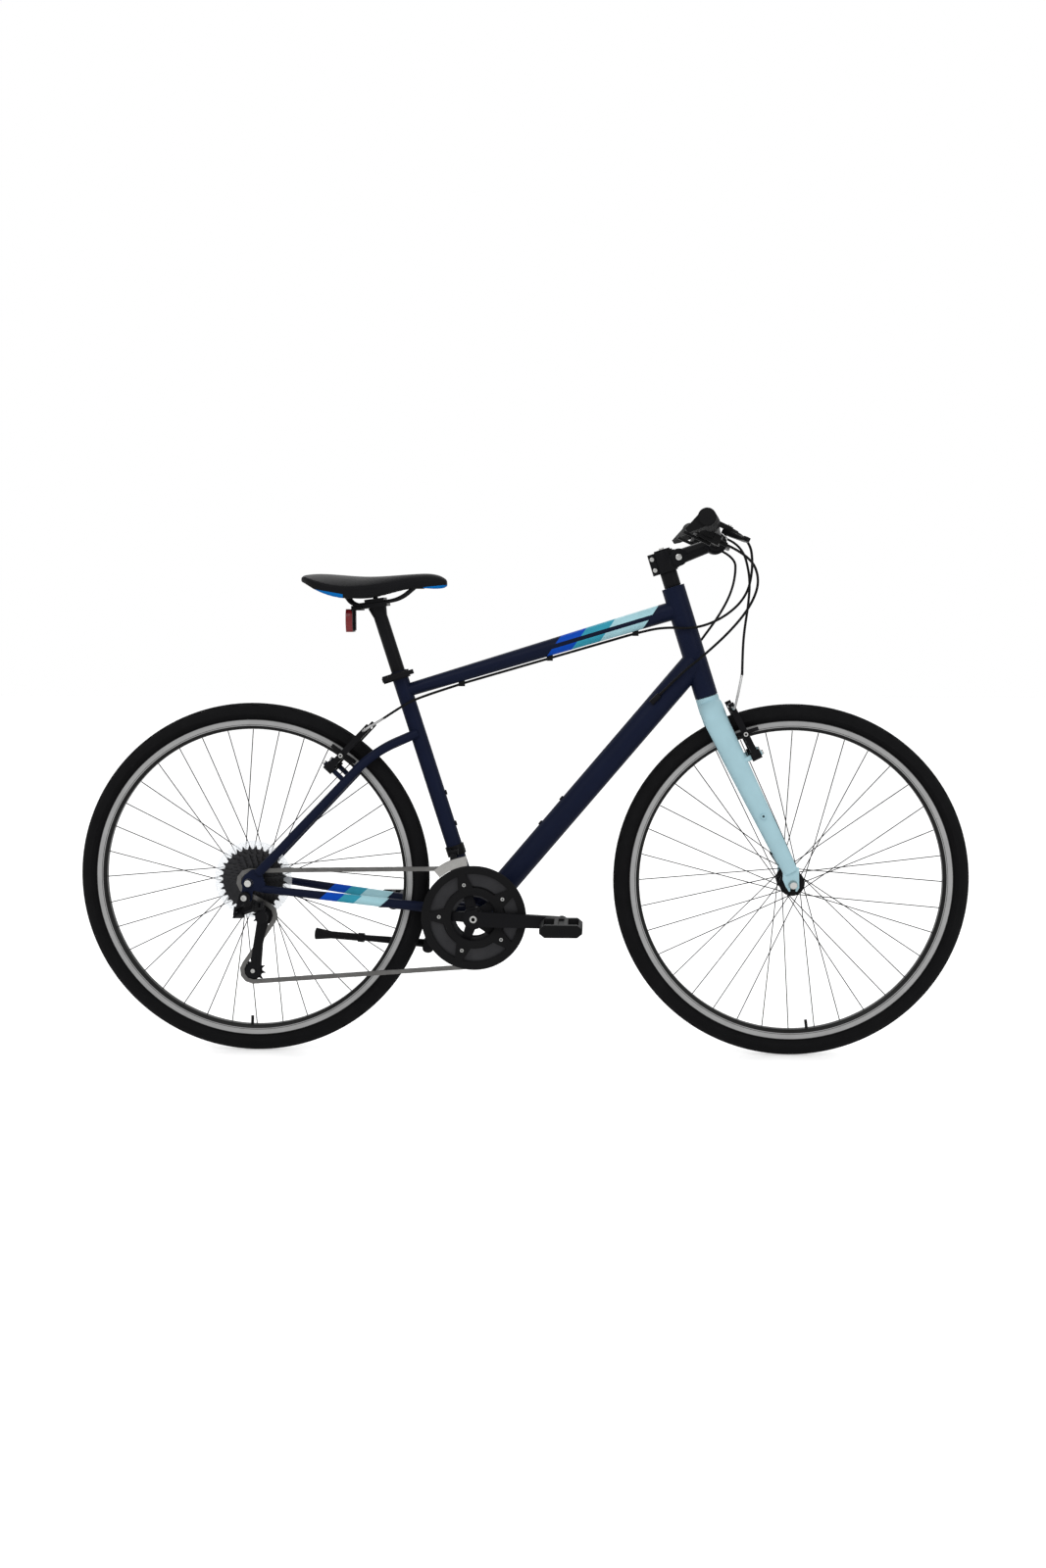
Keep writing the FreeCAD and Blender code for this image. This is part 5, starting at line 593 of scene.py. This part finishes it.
dark_steel = finish("dark_steel", (0.03, 0.03, 0.032), 0.4, grain=500, relief=0.00001, metal=0.7, vary=0.2)
chain_steel = finish("chain_steel", (0.11, 0.108, 0.105), 0.4, grain=700, relief=0.00001, metal=1.0,
                     vary=0.25)
dress(dark_steel, "cassette", "chainrings")
dress(chain_steel, "chain")
dress(black_plastic, "chain_guard", edge=0.0004)
dress(black_metal, "crank_right", "crank_left", edge=0.0012)
dress(black_plastic, "pedal_left", "pedal_right", edge=0.0006)


# Gear changers. Pressed and forged links in black, with a bright steel chain cage in front
# and two plastic jockey wheels behind.

worn_steel = finish("worn_steel", (0.30, 0.295, 0.285), 0.36, grain=500, relief=0.00001, metal=1.0, vary=0.2)
dress(black_metal, "rear_derailleur_mount", "rear_derailleur_link", "rear_derailleur_knuckle", edge=0.0005)
dress(black_metal, "rear_derailleur_cage", "front_derailleur_link", edge=0.0003)
dress(black_plastic, "guide_pulley", "tension_pulley")
dress(worn_steel, "front_derailleur_cage")


# Brakes and kickstand. Cast black arms that turn on the bosses of fork and stays, with rubber
# pads screwed to them, and a black prop bolted under the frame, with a rubber foot.

PAD_BACK = 0.0245
SLEEVE_END = -0.388
pad_rubber = finish("pad_rubber", (0.012, 0.012, 0.013), 0.75, grain=380, relief=0.00015)


def repaint(name, material, chosen):
    """Second finish on the faces of a piece whose middles are chosen."""
    shape = nodes[name].data
    shape.materials.append(material)
    for face in shape.polygons:
        face.material_index = int(chosen(face.center))


for arm in ("front_brake_arm_left", "front_brake_arm_right", "rear_brake_arm_left", "rear_brake_arm_right"):
    dress(black_metal, arm, edge=0.0006)
    repaint(arm, pad_rubber, lambda at: abs(at.y) < PAD_BACK)
dress(black_metal, "kickstand_leg", edge=0.0005)
repaint("kickstand_leg", pad_rubber, lambda at: at.x < SLEEVE_END)


# Bolts. Zinc-plated steel cap screws with six-sided sockets, at the stem, cranks, guard,
# brakes and gear changers. Sizes of a head are shares of its radius.

BOLT_SIDES = 24
HEAD_HEIGHT = 0.7
HEAD_ROUNDING = 0.14
SOCKET_REACH = 0.58
SOCKET_DEPTH = 0.5
SEAT_SINK = 0.0008
bolt_steel = finish("bolt_steel", (0.40, 0.40, 0.39), 0.32, relief=0.00001, metal=1.0)


def top_face(bm):
    return max(bm.faces, key=lambda face: face.calc_center_median().z)


def screw(radius):
    """Cap screw upright on its seat: a rounded head with a six-sided socket."""
    bm = bmesh.new()
    high = radius * HEAD_HEIGHT
    bmesh.ops.create_cone(bm, cap_ends=True, segments=BOLT_SIDES, radius1=radius, radius2=radius,
                          depth=high + SEAT_SINK)
    bmesh.ops.translate(bm, verts=bm.verts, vec=(0.0, 0.0, (high - SEAT_SINK) / 2))
    bmesh.ops.bevel(bm, geom=top_face(bm).edges[:], offset=radius * HEAD_ROUNDING, affect="EDGES",
                    segments=2, profile=0.5, material=-1)
    top = top_face(bm)
    brim = top.edges[:]
    bmesh.ops.delete(bm, geom=[top], context="FACES_ONLY")
    bmesh.ops.create_circle(bm, segments=6, radius=radius * SOCKET_REACH,
                            matrix=Matrix.Translation((0.0, 0.0, high)))
    mouth = [edge for edge in bm.edges if edge.is_wire]
    bmesh.ops.bridge_loops(bm, edges=brim + mouth)
    sunk = bmesh.ops.extrude_edge_only(bm, edges=mouth)["geom"]
    corners = [item for item in sunk if isinstance(item, bmesh.types.BMVert)]
    bmesh.ops.translate(bm, verts=corners, vec=(0.0, 0.0, -radius * SOCKET_DEPTH))
    bmesh.ops.contextual_create(bm, geom=[edge for edge in bm.edges if edge.is_boundary])
    bmesh.ops.recalc_face_normals(bm, faces=bm.faces)
    return bm


def bolts(name, spots, radius, body):
    """Screws of one size: each spot is the middle of a seat and the way its head points."""
    head = bpy.data.meshes.new(name + "_head")
    made = screw(radius)
    made.to_mesh(head)
    made.free()
    bm = bmesh.new()
    for seat, way in spots:
        turn = Vector(way).to_track_quat("Z", "Y").to_matrix().to_4x4()
        placed = head.copy()
        placed.transform(Matrix.Translation(seat) @ turn)
        bm.from_mesh(placed)
        bpy.data.meshes.remove(placed)
    bpy.data.meshes.remove(head)
    crease(make_piece(name, bm, bolt_steel, body))


RIGHT = (0.0, -1.0, 0.0)
LEFT = (0.0, 1.0, 0.0)
STEER_UP = (-0.3007, 0.0, 0.9537)
STEM_WAY = (0.9365, 0.0, 0.3505)
LEVER_UP = (0.4226, 0.0, 0.9062)
FORK_AHEAD = (0.8939, 0.0, 0.4482)
STAY_BEHIND = (-0.7244, 0.0, 0.6894)
clamp_seats = ((0.2541, -0.009, 0.9778), (0.2607, -0.009, 0.9569))
bolts("stem_clamp_bolts", [(seat, RIGHT) for seat in clamp_seats], 0.0042, "steering")
hinge_spots = [((0.3060, -0.016, 0.9827), RIGHT), ((0.3060, 0.016, 0.9827), LEFT)]
bolts("stem_hinge_bolts", hinge_spots, 0.0062, "steering")
bolts("stem_cap_bolt", [((0.2731, 0.0, 0.9975), STEER_UP)], 0.005, "steering")
bolts("bar_clamp_bolts", [((0.3966, y, 1.0166), STEM_WAY) for y in (-0.014, 0.014)], 0.0034, "steering")
bolts("lever_bolts", [((0.3933, y, 1.0358), LEVER_UP) for y in (-0.1651, 0.1651)], 0.0036, "steering")
bolts("front_brake_bolts", [((0.4685, y, 0.6067), FORK_AHEAD) for y in (-0.044, 0.044)], 0.0045, "steering")
bolts("rear_brake_bolts", [((-0.3823, y, 0.5830), STAY_BEHIND) for y in (-0.044, 0.044)], 0.0045, "frame")
for end, x, z in (("front", 0.4362, 0.6421), ("rear", -0.3499, 0.5981)):
    bolts(end + "_pad_bolt_left", [((x, 0.057, z), LEFT)], 0.0044, end + "_brake_arm_left")
    bolts(end + "_pad_bolt_right", [((x, -0.057, z), RIGHT)], 0.0044, end + "_brake_arm_right")
guard_spots = ((-0.0338, 0.3190), (-0.1090, 0.3464), (-0.1582, 0.2834), (-0.1135, 0.2171), (-0.0366, 0.2391))
bolts("guard_bolts", [((x, -0.0672, z), RIGHT) for x, z in guard_spots], 0.0036, "crank")
bolts("crank_bolts", [((-0.0902, -0.079, 0.281), RIGHT), ((-0.0902, 0.079, 0.281), LEFT)], 0.0072, "crank")
bolts("hanger_bolt", [((-0.5380, -0.0865, 0.3210), RIGHT)], 0.006, "frame")
bolts("pulley_bolts", [((-0.5269, -0.0634, 0.1723), RIGHT)], 0.0042, "rear_derailleur_cage")


# Seat post, rails and reflector. Anodised post, painted steel rails, and a dark red
# reflector whose lens is moulded in small prisms.

PRISM_SCALE = 420.0
PRISM_DEPTH = 0.0008
LENS_FRONT = -0.3325
dress(black_metal, "seatpost", "saddle_rails")
reflector_red = finish("reflector_red", (0.16, 0.006, 0.008), 0.16, coat=0.6)
prisms = reflector_red.node_tree.nodes.new("ShaderNodeTexVoronoi")
prisms.inputs["Scale"].default_value = PRISM_SCALE
prisms.inputs["Randomness"].default_value = 0.0
carve(reflector_red, prisms, "Distance", PRISM_DEPTH)
dress(reflector_red, "rear_reflector", edge=0.0006)
repaint("rear_reflector", black_plastic, lambda at: at.x > LENS_FRONT)


# Saddle. Foam on a moulded base under a grained black cover, with blue panels
# low on the tail and under the nose.

SADDLE_VOXEL = 0.0028
SADDLE_SMOOTHING = 8
COVER_BLACK = (0.007, 0.007, 0.008)
PANEL_BLUE = (0.002, 0.14, 0.46)
TAIL_PANEL = ("LESS_THAN", -0.340, -0.175, 0.8516)
NOSE_PANEL = ("GREATER_THAN", -0.190, 0.10, 0.9440)
saddle_cover = finish("saddle_cover", COVER_BLACK, 0.52, grain=650, relief=0.00018)


def blue_panels(material):
    """Blue base seen under the tail and the nose: below a sloping edge at either end."""
    tree = material.node_tree
    parts = tree.nodes.new("ShaderNodeSeparateXYZ")
    tree.links.new(tree.nodes["place"].outputs["Object"], parts.inputs[0])
    panels = []
    for side, end, slope, height in (TAIL_PANEL, NOSE_PANEL):
        past_end = worked(tree, side, parts.outputs["X"], end)
        edge = worked(tree, "MULTIPLY_ADD", parts.outputs["X"], slope, height)
        below = worked(tree, "LESS_THAN", parts.outputs["Z"], edge)
        panels.append(worked(tree, "MULTIPLY", past_end, below))
    either = worked(tree, "MAXIMUM", *panels)
    cover = mixed(tree, either, opaque(COVER_BLACK), opaque(PANEL_BLUE))
    tree.links.new(cover, tree.nodes["tint"].inputs["Color"])


def saddle():
    """Evenly padded saddle, cast over the frame's plain one."""
    cast = bpy.data.objects.new("saddle_cast", nodes["saddle"].data.copy())
    bpy.context.scene.collection.objects.link(cast)
    weld(cast)
    remesh = cast.modifiers.new("remesh", "REMESH")
    remesh.mode = "VOXEL"
    remesh.voxel_size = SADDLE_VOXEL
    cast.modifiers.new("even", "SMOOTH").iterations = SADDLE_SMOOTHING
    bpy.context.view_layer.update()
    whole = cast.evaluated_get(bpy.context.evaluated_depsgraph_get())
    bm = bmesh.new()
    bm.from_mesh(bpy.data.meshes.new_from_object(whole))
    bpy.data.objects.remove(cast)
    piece = make_piece("saddle_pad", bm, saddle_cover, "seat")
    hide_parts("saddle")


blue_panels(saddle_cover)
saddle()


# Studio. A pale floor that keeps the bicycle's shadow, a white room, and soft lamps
# from above on both sides.

FLOOR_HALF = 14.0
FLOOR_PALE = (0.88, 0.88, 0.88)
FLOOR_GLOW = 0.42
WHITE = (1.0, 1.0, 1.0)
ROOM_LIGHT = 0.62
ROOM_SEEN = 1.0
LAMPS_AIM = Vector((0.0, 0.0, 0.5))


def shows_background(tree):
    """One for a ray that shows the background: to the camera, off a shiny piece or through a clear one."""
    ray = tree.nodes.new("ShaderNodeLightPath")
    seen = ray.outputs["Is Camera Ray"]
    for kind in ("Is Glossy Ray", "Is Transmission Ray"):
        seen = worked(tree, "MAXIMUM", seen, ray.outputs[kind])
    return seen


floor_mesh = bmesh.new()
bmesh.ops.create_grid(floor_mesh, x_segments=1, y_segments=1, size=FLOOR_HALF)
floor_shape = bpy.data.meshes.new("floor")
floor_mesh.to_mesh(floor_shape)
floor_mesh.free()
floor = bpy.data.objects.new("floor", floor_shape)
bpy.context.scene.collection.objects.link(floor)
pale_floor = bpy.data.materials.new("pale_floor")
pale_floor.use_nodes = True
floor_tree = pale_floor.node_tree
floor_shader = floor_tree.nodes["Principled BSDF"]
floor_shader.inputs["Base Color"].default_value = opaque(FLOOR_PALE)
floor_shader.inputs["Roughness"].default_value = 0.35
floor_shader.inputs["Specular IOR Level"].default_value = 0.25
floor_shader.inputs["Emission Color"].default_value = opaque(WHITE)
floor_glow = worked(floor_tree, "MULTIPLY", shows_background(floor_tree), FLOOR_GLOW)
floor_tree.links.new(floor_glow, floor_shader.inputs["Emission Strength"])
floor_shape.materials.append(pale_floor)

world = bpy.data.worlds.new("studio")
bpy.context.scene.world = world
world.use_nodes = True
room = world.node_tree
backdrop = room.nodes["Background"]
backdrop.inputs["Color"].default_value = opaque(WHITE)
level = room.nodes.new("ShaderNodeMapRange")
level.inputs["To Min"].default_value = ROOM_LIGHT
level.inputs["To Max"].default_value = ROOM_SEEN
room.links.new(shows_background(room), level.inputs["Value"])
room.links.new(level.outputs["Result"], backdrop.inputs["Strength"])

for name, at, size, watts in (("key", (-1.4, -3.0, 3.4), 2.4, 58.0), ("fill", (2.6, -2.6, 2.0), 2.0, 26.0),
                              ("back", (0.0, 2.6, 3.0), 2.4, 32.0)):
    lamp = bpy.data.lights.new(name, "AREA")
    lamp.size = size
    lamp.energy = watts
    light = bpy.data.objects.new(name, lamp)
    light.location = at
    light.rotation_euler = (LAMPS_AIM - Vector(at)).to_track_quat("-Z", "Y").to_euler()
    bpy.context.scene.collection.objects.link(light)


# Camera. At waist height on the right of the bicycle, a little ahead of its middle,
# looking slightly down, as in the photograph.

PICTURE_HEIGHT = 1600
FOCUS_PIXELS = 1870.0
SENSOR = 36.0
LOOK_DOWN = 5.6
LOOK_BACK = 2.39
lens = bpy.data.cameras.new("camera")
lens.sensor_fit = "VERTICAL"
lens.sensor_height = SENSOR
lens.lens = FOCUS_PIXELS / PICTURE_HEIGHT * SENSOR
camera = bpy.data.objects.new("camera", lens)
camera.location = (0.1538, -3.6, 0.8918)
camera.rotation_euler = (math.radians(90 - LOOK_DOWN), 0.0, math.radians(LOOK_BACK))
bpy.context.scene.collection.objects.link(camera)
bpy.context.scene.camera = camera
bpy.context.scene.view_settings.view_transform = "Standard"

bpy.context.view_layer.update()
